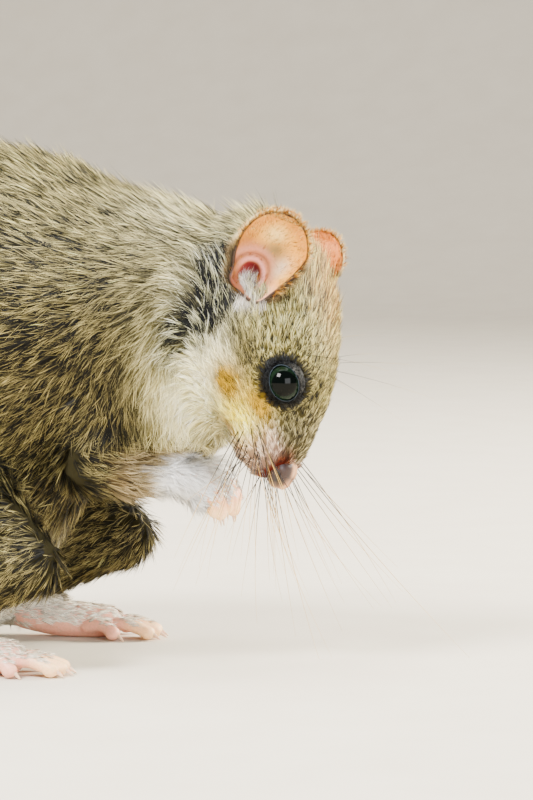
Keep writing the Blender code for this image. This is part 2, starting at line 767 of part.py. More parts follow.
def tail_locks(start, end, draw):
    """The locks of the brush, in staggered rows along it and from side to side over it."""
    made = []
    for row, s in enumerate(np.arange(start, end, TAIL_ROW_STEP)):
        x, y, heading = (np.asarray(v) for v in tail_place(s))
        across = np.cross(heading, (0, 0, 1))
        full = float(tail_fullness(s))
        shift = 6 if row % 2 else -6
        for turn in np.radians(np.linspace(8, 172, 6) + shift):
            out = math.cos(turn) * across + math.sin(turn) * np.array([0, 0, 1])
            low = abs(math.cos(turn))
            root = np.array([x, y, TAIL_CORE_HEIGHT * full * 0.8]) + out * (2.6 + 2.4 * low) * full
            root[2] = max(root[2], 2.4)
            lean = math.radians(15 + 17 * low)
            way = heading * math.cos(lean) + out * math.sin(lean)
            way[2] = max(way[2], 0.0)
            way /= np.linalg.norm(way)
            length = (16 + 5 * low) * full * (1 + 0.12 * draw.standard_normal())
            curl = heading * 1.5 - out * 1.2 * low + 0.5 * draw.standard_normal(3)
            curl[2] = max(curl[2], -0.6)
            made.append(lock(root, way, out - way * (out @ way), length, 7.6 * full, 1.5, curl))
    return made


def tail_tip_locks(draw):
    """The last locks, which fan out over the end of the tail."""
    made = []
    x, y, heading = (np.asarray(v) for v in tail_place(TAIL_LENGTH - 19))
    across = np.cross(heading, (0, 0, 1))
    for fan in np.linspace(-0.9, 0.9, 7):
        for layer in (0, 1):
            way = heading + across * fan * (0.62 - 0.15 * layer) + np.array([0, 0, 0.10 + 0.22 * layer])
            way /= np.linalg.norm(way)
            root = np.array([x, y, 3.0 + layer * 1.6]) + across * fan * 3.0
            length = (TAIL_TIP_LOCK - 3.0 * abs(fan) - 2.5 * layer) * (1 + 0.06 * draw.standard_normal())
            lift = np.array([0, 0, 1.0]) - way * way[2]
            made.append(lock(root, way, lift, length, 5.2, 1.4, np.array([0, 0, -0.6])))
    return made


def make_tail(body):
    """The brush as one joined body, parted into lengths with thin cuts across it."""
    draw = np.random.default_rng(12)
    pieces = [tail_core()] + tail_locks(4, TAIL_LENGTH - 20, draw) + tail_tip_locks(draw)
    whole = join_all("tail", pieces)
    rest_on_floor(whole)
    clear_of(whole, [body])
    lengths = []
    for k in range(TAIL_PARTS):
        node = bpy.data.objects.new(f"tail_{k + 1}", whole.data.copy())
        parts.objects.link(node)
        for edge, way in ((k, -1), (k + 1, 1)):
            if edge in (0, TAIL_PARTS):
                continue
            s = TAIL_LENGTH * edge / TAIL_PARTS
            x, y, heading = tail_place(s)
            place = np.array([float(x), float(y), 0]) - heading * way * GAP / 2
            cut_plane(node, place, heading * way)
        keep_largest(node)
        lengths.append(node)
    bpy.data.objects.remove(whole)
    return lengths


# Whiskers

def whisker(root, way, length, droop, radius=0.27):
    """A long bristle of four sides that bends down as it tapers to its point."""
    across = np.cross(way, (0, 0, 1.0))
    across /= np.linalg.norm(across)
    lift = np.cross(across, way)
    rings = []
    for t in (0.0, 0.35, 0.7):
        centre = root + way * length * t + droop * t * t
        r = radius * (1 - 0.45 * t)
        rings.append([centre + r * across, centre + r * lift, centre - r * across, centre - r * lift])
    return loft("whisker", np.array(rings), root - way * 0.2, root + way * length + droop)


def make_whiskers():
    """A fan of whiskers on each side, in rows on the swollen upper lip, with sunken roots."""
    draw = np.random.default_rng(5)
    made = []
    for mirror in (1, -1):
        for row in range(WHISKER_ROWS):
            for place in range(WHISKERS_A_ROW):
                root = head_point(30.2 + 1.35 * place, -2.9 - 1.3 * row, (6.1 - 0.35 * place) * mirror)
                fan = math.radians(20 - 24 * row - 7 * place + 3 * draw.standard_normal())
                out = 0.72 - 0.10 * place
                way = head_direction(math.cos(fan), math.sin(fan), out * mirror)
                way /= np.linalg.norm(way)
                length = WHISKER_LENGTH - 3.4 * place - 1.0 * row + 1.2 * draw.standard_normal()
                droop = np.array([0.10, 0, -0.05]) * length
                made.append(whisker(root, way, length, droop))
    return made


def main():
    clear_scene()
    torso, neck, head = make_body()
    eyes, nose = make_face(head)
    grey = ("grey_coat", COAT_GREY)
    for mirror, tag in ((1, "left"), (-1, "right")):
        finish(make_ear(mirror, [head, neck]), f"ear_{tag}", "ear_skin", SKIN_PINK)
        thigh, sole = make_hindleg(mirror, torso)
        finish(thigh, f"hindleg_{tag}", *grey)
        finish(sole, f"hindfoot_{tag}", "paw_skin", SKIN_PINK)
        arm, paw = make_foreleg(mirror, [torso, neck, head, thigh])
        finish(arm, f"foreleg_{tag}", *grey)
        finish(paw, f"forepaw_{tag}", "paw_skin", SKIN_PINK)
    for eye, tag in zip(eyes, ("left", "right")):
        finish(eye, f"eye_{tag}", "eye_globe", EYE_BLACK, roughness=0.08)
    head = join_all("head", [head] + make_whiskers())
    finish(nose, "nose", "nose_skin", NOSE_PINK, roughness=0.6)
    for k, node in enumerate(make_tail(torso)):
        finish(node, f"tail_{k + 1}", *grey)
    finish(torso, "torso", *grey)
    finish(neck, "neck", *grey)
    finish(head, "head", *grey)


main()
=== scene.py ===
import math

import bmesh
import bpy
import numpy as np
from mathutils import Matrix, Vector


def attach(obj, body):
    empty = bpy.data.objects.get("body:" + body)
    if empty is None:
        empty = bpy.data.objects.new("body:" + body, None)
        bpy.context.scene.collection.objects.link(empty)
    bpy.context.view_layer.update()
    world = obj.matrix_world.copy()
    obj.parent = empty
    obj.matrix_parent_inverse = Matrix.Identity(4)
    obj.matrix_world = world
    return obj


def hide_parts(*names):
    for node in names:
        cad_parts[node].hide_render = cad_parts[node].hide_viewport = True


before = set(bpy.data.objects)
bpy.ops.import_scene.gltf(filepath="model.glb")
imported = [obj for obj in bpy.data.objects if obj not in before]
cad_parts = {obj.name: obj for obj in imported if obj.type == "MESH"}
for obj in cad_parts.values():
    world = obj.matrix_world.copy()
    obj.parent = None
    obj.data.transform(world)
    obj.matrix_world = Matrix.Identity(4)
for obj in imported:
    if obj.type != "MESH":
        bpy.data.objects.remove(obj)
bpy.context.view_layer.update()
model = bpy.data.collections.new("dressed_dormouse")
bpy.context.scene.collection.children.link(model)


# The view. The photo looks at the animal's right side from a little before it and almost level,
# with a long lens, so that head and shoulders fill the frame.

AIM = np.array([0.05688, 0.01739, 0.0403])
AZIMUTH = math.radians(17)
ELEVATION = math.radians(4)
DISTANCE = 0.6
LENS = 167.4

towards_camera = np.array([math.sin(AZIMUTH) * math.cos(ELEVATION),
                           -math.cos(AZIMUTH) * math.cos(ELEVATION),
                           math.sin(ELEVATION)])
lens = bpy.data.cameras.new("camera")
lens.lens = LENS
lens.sensor_width = 36
camera = bpy.data.objects.new("camera", lens)
camera.location = (AIM + towards_camera * DISTANCE).tolist()
camera.rotation_mode = "XYZ"
camera.rotation_euler = (math.pi / 2 - ELEVATION, 0, AZIMUTH)
bpy.context.scene.collection.objects.link(camera)
bpy.context.scene.camera = camera


# The skin of trunk, head and legs. One soft hide covers all flesh, and lies inside the solids by the
# coat's depth. It is lofted from the sections of the body, run together and let in under the coat.

MM = 0.001
SEAT = np.array([-10.0, 0.0, 0.0])
HEAD_ORIGIN = np.array([46.1, 2.5, 65.8])
HEAD_PITCH = math.radians(70)
HEAD_YAW = math.radians(12)
HEAD_ROLL = math.radians(-4)

# back x, back z, belly x, belly z, half width, from rump to nape
TRUNK = np.array([
    (-24.0, 10.0, -20.0, 1.5, 7.0),
    (-29.0, 22.0, -15.0, -0.9, 16.5),
    (-29.5, 38.0, -4.0, -0.9, 23.0),
    (-25.0, 55.0, 7.0, 5.0, 26.2),
    (-15.0, 71.0, 15.0, 13.0, 27.0),
    (-1.0, 81.6, 20.0, 20.0, 26.4),
    (15.0, 81.3, 25.5, 26.5, 24.4),
    (29.0, 76.2, 32.0, 30.3, 21.4),
    (40.0, 73.4, 39.5, 31.4, 18.6),
    (48.0, 70.8, 45.5, 34.8, 15.4),
    (52.5, 65.5, 50.0, 44.0, 11.0),
])

# place along the head, crown, throat, half width, height of the widest part
HEAD = np.array([
    (-3.0, 8.6, -3.0, 8.0, 2.0),
    (0.0, 10.8, -6.0, 11.4, 2.0),
    (5.0, 12.6, -8.6, 13.4, 1.6),
    (10.0, 13.6, -9.4, 13.8, 1.2),
    (15.5, 13.2, -9.4, 13.0, 1.0),
    (20.5, 11.7, -9.1, 11.6, 0.6),
    (25.5, 9.6, -8.9, 9.7, -0.8),
    (29.5, 7.1, -8.7, 8.0, -2.4),
    (32.7, 4.5, -8.4, 7.1, -3.4),
    (35.0, 2.6, -7.5, 6.0, -3.4),
    (37.0, 0.4, -6.5, 4.3, -3.1),
])


def turned_axes(pitch, yaw, roll):
    """Rows ahead, up and left: the level axes pitched down, then yawed, then rolled."""
    ahead = np.array([math.cos(pitch), 0, -math.sin(pitch)])
    up = np.array([math.sin(pitch), 0, math.cos(pitch)])
    left = np.array([0.0, 1.0, 0.0])
    ahead, left = (ahead * math.cos(yaw) - left * math.sin(yaw),
                   left * math.cos(yaw) + ahead * math.sin(yaw))
    up, left = (up * math.cos(roll) - left * math.sin(roll),
                left * math.cos(roll) + up * math.sin(roll))
    return np.array([ahead, up, left])


HEAD_AXES = turned_axes(HEAD_PITCH, HEAD_YAW, HEAD_ROLL)


def head_point(along, above, out):
    """A point of the model, in mm: the head's origin plus the three distances times its axes."""
    return HEAD_ORIGIN + np.stack(np.broadcast_arrays(along, above, out), axis=-1) @ HEAD_AXES


def in_head(points):
    """Points of the model as places in the head: the difference from its origin along its axes."""
    return (points - HEAD_ORIGIN) @ HEAD_AXES.T


def unit(v):
    """Each vector divided by its length."""
    return v / np.maximum(np.linalg.norm(v, axis=-1, keepdims=True), 1e-9)


def ease(x, low, high):
    """0 below low, 1 above high, and 3t^2 - 2t^3 between."""
    t = np.clip((x - low) / (high - low), 0, 1)
    return t * t * (3 - 2 * t)


def through(points, count):
    """A Catmull-Rom curve through rows of numbers, read at even steps."""
    p = np.asarray(points, float)
    p = np.vstack([2 * p[0] - p[1], p, 2 * p[-1] - p[-2]])
    s = np.linspace(0, len(p) - 3 - 1e-9, count)
    i = s.astype(int)
    t = (s - i)[:, None]
    a, b, c, d = p[i], p[i + 1], p[i + 2], p[i + 3]
    return 0.5 * (2 * b + (c - a) * t + (2 * a - 5 * b + 4 * c - d) * t**2
                  + (3 * b - a - 3 * c + d) * t**3)


def grid_faces(rows, columns, joined=(0, 0)):
    """Quads between neighbours of a grid. Joined is 1 where the last row or column meets the first."""
    number = np.pad(np.arange(rows * columns).reshape(rows, columns), [(0, k) for k in joined], "wrap")
    return np.stack([number[:-1, :-1], number[:-1, 1:], number[1:, 1:], number[1:, :-1]],
                    axis=-1).reshape(-1, 4).tolist()


def closed_grid(rings, first, last):
    """Points and faces of rings joined to their neighbours, with a pole at each end."""
    count, around = rings.shape[:2]
    points = np.vstack([rings.reshape(-1, 3), [first], [last]])
    here = np.arange(around)
    after = (here + 1) % around
    top = (count - 1) * around
    start = np.stack([after, here, np.full(around, count * around)], axis=-1)
    end = np.stack([top + here, top + after, np.full(around, count * around + 1)], axis=-1)
    return points, grid_faces(count, around, (0, 1)) + start.tolist() + end.tolist()


def trunk_form():
    """Rings across the bent back: middle + cos(a) * half height + sin(a) * half width."""
    rows = through(TRUNK, 60)
    a = np.linspace(0, 2 * np.pi, 64, endpoint=False)[None, :, None]
    zero = np.zeros(len(rows))
    back = np.stack([rows[:, 0], zero, rows[:, 1]], axis=-1)[:, None]
    belly = np.stack([rows[:, 2], zero, rows[:, 3]], axis=-1)[:, None]
    wide = np.stack([zero, rows[:, 4], zero], axis=-1)[:, None]
    rings = (back + belly) / 2 + np.cos(a) * (back - belly) / 2 + np.sin(a) * wide
    return closed_grid(rings, (-24.5, 0, 4.5), (53.5, 1.0, 55.0))


def head_form():
    """Rings along the head: above = level + rise * cos(a), out = half width * sin(a)^0.92."""
    rows = through(HEAD, 60)
    a = np.linspace(0, 2 * np.pi, 72, endpoint=False)[None, :]
    along, crown, throat, half, level = (rows[:, [k]] for k in range(5))
    above = level + np.where(np.cos(a) > 0, crown - level, level - throat) * np.cos(a)
    out = half * np.sign(np.sin(a)) * np.abs(np.sin(a)) ** 0.92
    rings = head_point(along + 0 * a, above, out)
    return closed_grid(rings, head_point(-5.5, 3.5, 0), head_point(38.4, -3.2, 0))


def bent_tube(stations, around=20, flat=(1.0, 1.0), up=(0, 0, 1), steps=24):
    """Rings across a smooth line of (x, y, z, radius), closed at both ends by quarter circles."""
    line = through(stations, steps)
    centre, radius = line[:, :3], line[:, 3]
    ahead = unit(np.gradient(centre, axis=0))
    turn = np.radians([65, 35])
    before = centre[0] - ahead[0] * radius[0] * np.sin(turn)[:, None]
    after = centre[-1] + ahead[-1] * radius[-1] * np.sin(turn[::-1])[:, None]
    centres = np.vstack([before, centre, after])
    ways = np.vstack([ahead[[0, 0]], ahead, ahead[[-1, -1]]])
    radii = np.concatenate([radius[0] * np.cos(turn), radius, radius[-1] * np.cos(turn[::-1])])
    across = unit(np.cross(ways, up))
    lift = np.cross(across, ways)
    a = np.linspace(0, 2 * np.pi, around, endpoint=False)[None, :, None]
    rings = centres[:, None] + radii[:, None, None] * (np.cos(a) * across[:, None] * flat[0]
                                                       + np.sin(a) * lift[:, None] * flat[1])
    return closed_grid(rings, centre[0] - ahead[0] * radius[0], centre[-1] + ahead[-1] * radius[-1])


def chained(forms):
    """Several forms as one list of points and one of faces."""
    points, faces, start = [], [], 0
    for form_points, form_faces in forms:
        points.append(form_points)
        faces += [tuple(start + i for i in face) for face in form_faces]
        start += len(form_points)
    return np.vstack(points), faces


def new_piece(name, points, faces):
    """A mesh object from points in model millimetres, in metres from the seat."""
    mesh = bpy.data.meshes.new(name)
    mesh.from_pydata(((points - SEAT) * MM).tolist(), [], faces)
    made = bpy.data.objects.new(name, mesh)
    model.objects.link(made)
    return made


def places(mesh):
    """The mesh's points in model millimetres."""
    flat = np.empty(len(mesh.vertices) * 3)
    mesh.vertices.foreach_get("co", flat)
    return flat.reshape(-1, 3) / MM + SEAT


def point_normals(mesh):
    """The mesh's point normals."""
    flat = np.empty(len(mesh.vertices) * 3)
    mesh.vertex_normals.foreach_get("vector", flat)
    return flat.reshape(-1, 3)


def move_points(mesh, points):
    """Sets the mesh's points from model millimetres."""
    mesh.vertices.foreach_set("co", ((points - SEAT) * MM).ravel())
    mesh.update()


def run_together(name, forms, voxel, smoothing):
    """Overlapping closed forms as one smooth closed body, remeshed and softened."""
    made = new_piece(name, *chained(forms))
    remesh = made.modifiers.new("one_skin", "REMESH")
    remesh.mode = "VOXEL"
    remesh.voxel_size = voxel * MM
    soften = made.modifiers.new("soften", "SMOOTH")
    soften.factor = 0.5
    soften.iterations = smoothing
    graph = bpy.context.evaluated_depsgraph_get()
    mesh = bpy.data.meshes.new_from_object(made.evaluated_get(graph), depsgraph=graph)
    old = made.data
    made.modifiers.clear()
    made.data = mesh
    bpy.data.meshes.remove(old)
    mesh.name = name
    mesh.shade_smooth()
    return made


def face_forms(m):
    """Whisker pad, cheek and chin as bent tubes. m is 1 on the left and -1 on the right, here and below."""
    pad = [(*head_point(29.5, -4.6, 4.9 * m), 2.6), (*head_point(32.8, -4.2, 4.3 * m), 3.1),
           (*head_point(35.0, -4.1, 2.6 * m), 2.6)]
    cheek = [(*head_point(14, -2.5, 7.5 * m), 6.0), (*head_point(21, -3.6, 5.8 * m), 5.4),
             (*head_point(26, -4.6, 4.6 * m), 4.2)]
    chin = [(*head_point(26, -7.0, 0), 2.6), (*head_point(30.0, -7.6, 0), 2.0),
            (*head_point(31.8, -7.6, 0), 1.4)]
    return [bent_tube(pad), bent_tube(cheek), bent_tube(chin)]


def foreleg_stations(m):
    """Rows of (x, y, z, radius) for the upper arm, and for the forearm down to the palm."""
    elbow = (26.5, 14.6 * m, 32.4)
    wrist = (38.6, 6.7 * m, 29.8)
    palm = (41.6, 4.7 * m, 28.9)
    arm = [(31.0, 12.0 * m, 48.0, 8.0), (29.5, 13.4 * m, 40.5, 7.4), (*elbow, 5.4)]
    forearm = [(*elbow, 5.2), (33.2, 11.4 * m, 30.6, 4.4), (*wrist, 3.0), (*palm, 2.7)]
    return arm, forearm


def foreleg_forms(m):
    """The arm's two tubes."""
    arm, forearm = foreleg_stations(m)
    return [bent_tube(arm, up=(1, 0, 0)), bent_tube(forearm)]


def hindleg_forms(m):
    """Folded thigh, shank and the foot's middle, as flattened tubes."""
    thigh = [(-8.0, 17.0 * m, 30.0, 14.0), (4.0, 19.8 * m, 27.0, 14.6),
             (16.0, 21.5 * m, 20.5, 9.4), (20.0, 22.0 * m, 18.0, 7.0)]
    shank = [(18.5, 22.0 * m, 17.5, 6.6), (8.0, 21.0 * m, 11.5, 5.2), (-3.0, 19.5 * m, 3.6, 3.4)]
    foot = [(-3.0, 19.5 * m, 3.6, 3.3), (2.0, 20.2 * m, 4.4, 3.5), (10.0, 21.4 * m, 3.1, 3.4),
            (16.0, 22.4 * m, 2.7, 2.9)]
    return [bent_tube(thigh, around=32, flat=(0.62, 1.0)), bent_tube(shank, flat=(0.85, 1.0)),
            bent_tube(foot, flat=(1.18, 0.94))]


TAIL_ROOT = -24.0
TAIL_LENGTH = 128.0
TAIL_STRAIGHT = 12.0
TAIL_BEND_RADIUS = 46.0
TAIL_CORE_WIDTH = 7.0
TAIL_CORE_HEIGHT = 4.7


def tail_place(s):
    """Centre and heading at distance s: straight back, then round a circle to the left."""
    s = np.asarray(s, float)
    turn = np.clip((s - TAIL_STRAIGHT) / TAIL_BEND_RADIUS, 0, None)
    x = TAIL_ROOT - np.minimum(s, TAIL_STRAIGHT) - TAIL_BEND_RADIUS * np.sin(turn)
    y = TAIL_BEND_RADIUS * (1 - np.cos(turn))
    heading = np.stack([-np.cos(turn), np.sin(turn), 0 * turn], axis=-1)
    return x, y, heading


def tail_form(thinner=1.2):
    """Flat ovals along the tail, full beyond its root and round at its end."""
    s = np.linspace(-6, TAIL_LENGTH - 16, 90)
    x, y, heading = tail_place(np.maximum(s, 0))
    x = x - np.minimum(s, 0)
    full = 0.52 + 0.48 * ease(s / TAIL_LENGTH, 0, 0.30)
    end = np.sqrt(np.clip(1 - np.clip((s - 92) / 24, 0, None) ** 2, 0.02, 1))
    half = ((TAIL_CORE_WIDTH * full - thinner) * end)[:, None, None]
    high = ((TAIL_CORE_HEIGHT * full - thinner * 0.7) * end)[:, None, None]
    centre = np.stack([x, y, high[:, 0, 0] + 0.2 + 3.4 * (1 - np.clip(s / 20, 0, 1))], axis=-1)
    across = np.cross(heading, (0, 0, 1.0))[:, None]
    a = np.linspace(0, 2 * np.pi, 28, endpoint=False)[None, :, None]
    rings = centre[:, None] + half * np.cos(a) * across + high * np.sin(a) * np.array([0, 0, 1.0])
    return closed_grid(rings, rings[0].mean(0), rings[-1].mean(0) + heading[-1] * 1.5)


EYE_PLACE = {-1: (25.6, 3.6, 7.6), 1: (25.6, 3.2, 7.2)}
EYE_RADIUS = 3.1


def eye_centre(m):
    """The middle of an eye: its three distances on the head, the last to its own side."""
    along, above, out = EYE_PLACE[m]
    return head_point(along, above, out * m)


EAR_ROOT = {-1: (13.4, 3.6, 12.6), 1: (10.4, 4.2, 12.0)}
EAR_TIP = {-1: (3.1, 13.3, 16.9), 1: (-0.4, 11.8, 12.4)}
EAR_WIDTH = 12.0
EAR_DEPTH = 4.2
EAR_NOTCH = 0.42
HOLLOW_DEPTH = 1.3
HOLLOW_HEIGHT = 0.20
HOLLOW_SPREAD = -0.42
HOLLOW_EGG = (0.17, 0.42)
OUTER_FOLD_EGG = (0.27, 0.70)


def ear_frame(m):
    """Root, length, axis, opening and across of an ear, the last three square to each other."""
    root = head_point(EAR_ROOT[m][0], EAR_ROOT[m][1], EAR_ROOT[m][2] * m)
    tip = head_point(EAR_TIP[m][0], EAR_TIP[m][1], EAR_TIP[m][2] * m)
    axis = unit(tip - root)
    opening = np.array([0.40, 0.20, 0.89 * m]) @ HEAD_AXES
    opening = unit(opening - axis * (opening @ axis))
    return root, np.linalg.norm(tip - root), axis, opening, np.cross(axis, opening)


def from_hollow(height, spread, tall, wide):
    """Distance from the hollow's middle, as an egg of the two half sizes: 1 on its edge."""
    return np.sqrt(((height - HOLLOW_HEIGHT) / tall) ** 2 + ((spread - HOLLOW_SPREAD) / wide) ** 2)


def over_ear_bowl(points, m):
    """How far each point stands out of the ear's bowl, in mm: below 0 behind it or past its edges."""
    root, length, axis, opening, across = ear_frame(m)
    height = (points - root) @ axis / length
    spread = (points - root) @ across / (EAR_WIDTH / 2)
    bowl = EAR_DEPTH * np.sin(np.pi * np.clip(height + 0.08, 0, 1)) ** 0.7 * (spread**2 - 1)
    bowl = bowl - HOLLOW_DEPTH * ease(from_hollow(height, -m * spread, *HOLLOW_EGG), 1.5, 0.9)
    inside = (height > 0.03) & (height < 0.85) & (np.abs(spread) < 0.9)
    return np.where(inside, (points - root) @ opening - bowl + 0.9, -1.0)


def from_side_spot(points, x, z):
    """Distance in mm from a spot, as seen from the side: the length of (dx, dz)."""
    return np.linalg.norm((points - (x, 0, z)) * (1, 0, 1), axis=1)


def coat_depth(points):
    """How far the hair stands off the skin, in mm: 2.7 on the back, thin on face, legs and feet."""
    h = in_head(points)
    on_head = ease(h[:, 0], -1, 8) * ease(points[:, 0], 38, 46)
    face = ease(h[:, 0], 10, 34)
    depth = 2.7 * (1 - on_head) + on_head * (1.5 * (1 - face) + 0.35 * face)
    low = ease(points[:, 2], 34, 14) * ease(np.abs(points[:, 1]), 12, 20)
    depth = depth * (1 - 0.65 * low)
    leg = ease(from_side_spot(points, 33.5, 31), 12, 6)
    leg = leg * ease(points[:, 2], 40, 35)
    return depth * (1 - 0.7 * leg)


def mouth_line(t):
    """The line of the mouth on the head: an arc round the muzzle, from corner to corner."""
    return 27.6 + 7.2 * np.cos(t), -6.9 - 0.6 * (1 - np.cos(t)), 7.2 * np.sin(t)


skin = run_together("skin", [trunk_form(), head_form()] + face_forms(1) + face_forms(-1)
                    + foreleg_forms(1) + foreleg_forms(-1) + hindleg_forms(1) + hindleg_forms(-1),
                    voxel=0.6, smoothing=6)

MOUTH_REACH = 1.75
MOUTH_WIDTH = 0.55
MOUTH_DEPTH = 0.11
SOCKET_EDGE = 3.3
SOCKET_RADIUS = 2.7

# the skin is let in by the coat's depth, then along the mouth, in the eye sockets and under the ears
facing = point_normals(skin.data)
hide = places(skin.data) - coat_depth(places(skin.data))[:, None] * facing
in_line = in_head(hide)
for t in np.linspace(-MOUTH_REACH, MOUTH_REACH, 71):
    gap = np.linalg.norm(in_line - np.array(mouth_line(t)), axis=1)
    hide -= MOUTH_DEPTH * np.exp(-(gap / MOUTH_WIDTH) ** 2)[:, None] * facing
for m in (1, -1):
    away = hide - eye_centre(m)
    far = np.linalg.norm(away, axis=1, keepdims=True)
    hide = np.where(far < SOCKET_EDGE, eye_centre(m) + away / np.maximum(far, 1e-6) * SOCKET_RADIUS, hide)
for m in (1, -1):
    hide -= np.maximum(over_ear_bowl(hide, m), 0)[:, None] * ear_frame(m)[3]
move_points(skin.data, hide)


def plain(red, green, blue):
    """A colour of 0 to 255 as light, (c / 255) ^ 2.2, pushed a third further from its own grey."""
    light = (np.array([red, green, blue]) / 255) ** 2.2
    return np.clip(light + 0.35 * (light - light.mean()), 0, 1)


def spot(points, middle, sizes):
    """1 in the middle of a soft egg of three half sizes, fading as exp(-r^2)."""
    return np.exp(-np.sum(((points - np.array(middle)) / np.array(sizes)) ** 2, axis=-1))


def drift(points, scale, seed):
    """A slow wander of -1 to 1 over the body: a product of sines along three drawn directions."""
    ways = np.random.default_rng(seed).standard_normal((3, 3)) / scale
    return np.prod(np.sin(points @ ways.T + seed), axis=-1)


def round_the_eye(points):
    """Distance across the gaze from the nearer eye, as an egg: 1 on the edge of the black fur ring."""
    nearest = np.full(len(points), 99.0)
    for m in (1, -1):
        away = in_head(points) - in_head(eye_centre(m))
        gaze = unit(np.array([0.32, 0.22, 0.92 * m]))
        depth = away @ gaze
        aside = (away - depth[:, None] * gaze) / (3.9, 3.35, 3.6)
        nearest = np.minimum(nearest, np.linalg.norm(aside, axis=1) + 4 * (depth < -4))
    return nearest


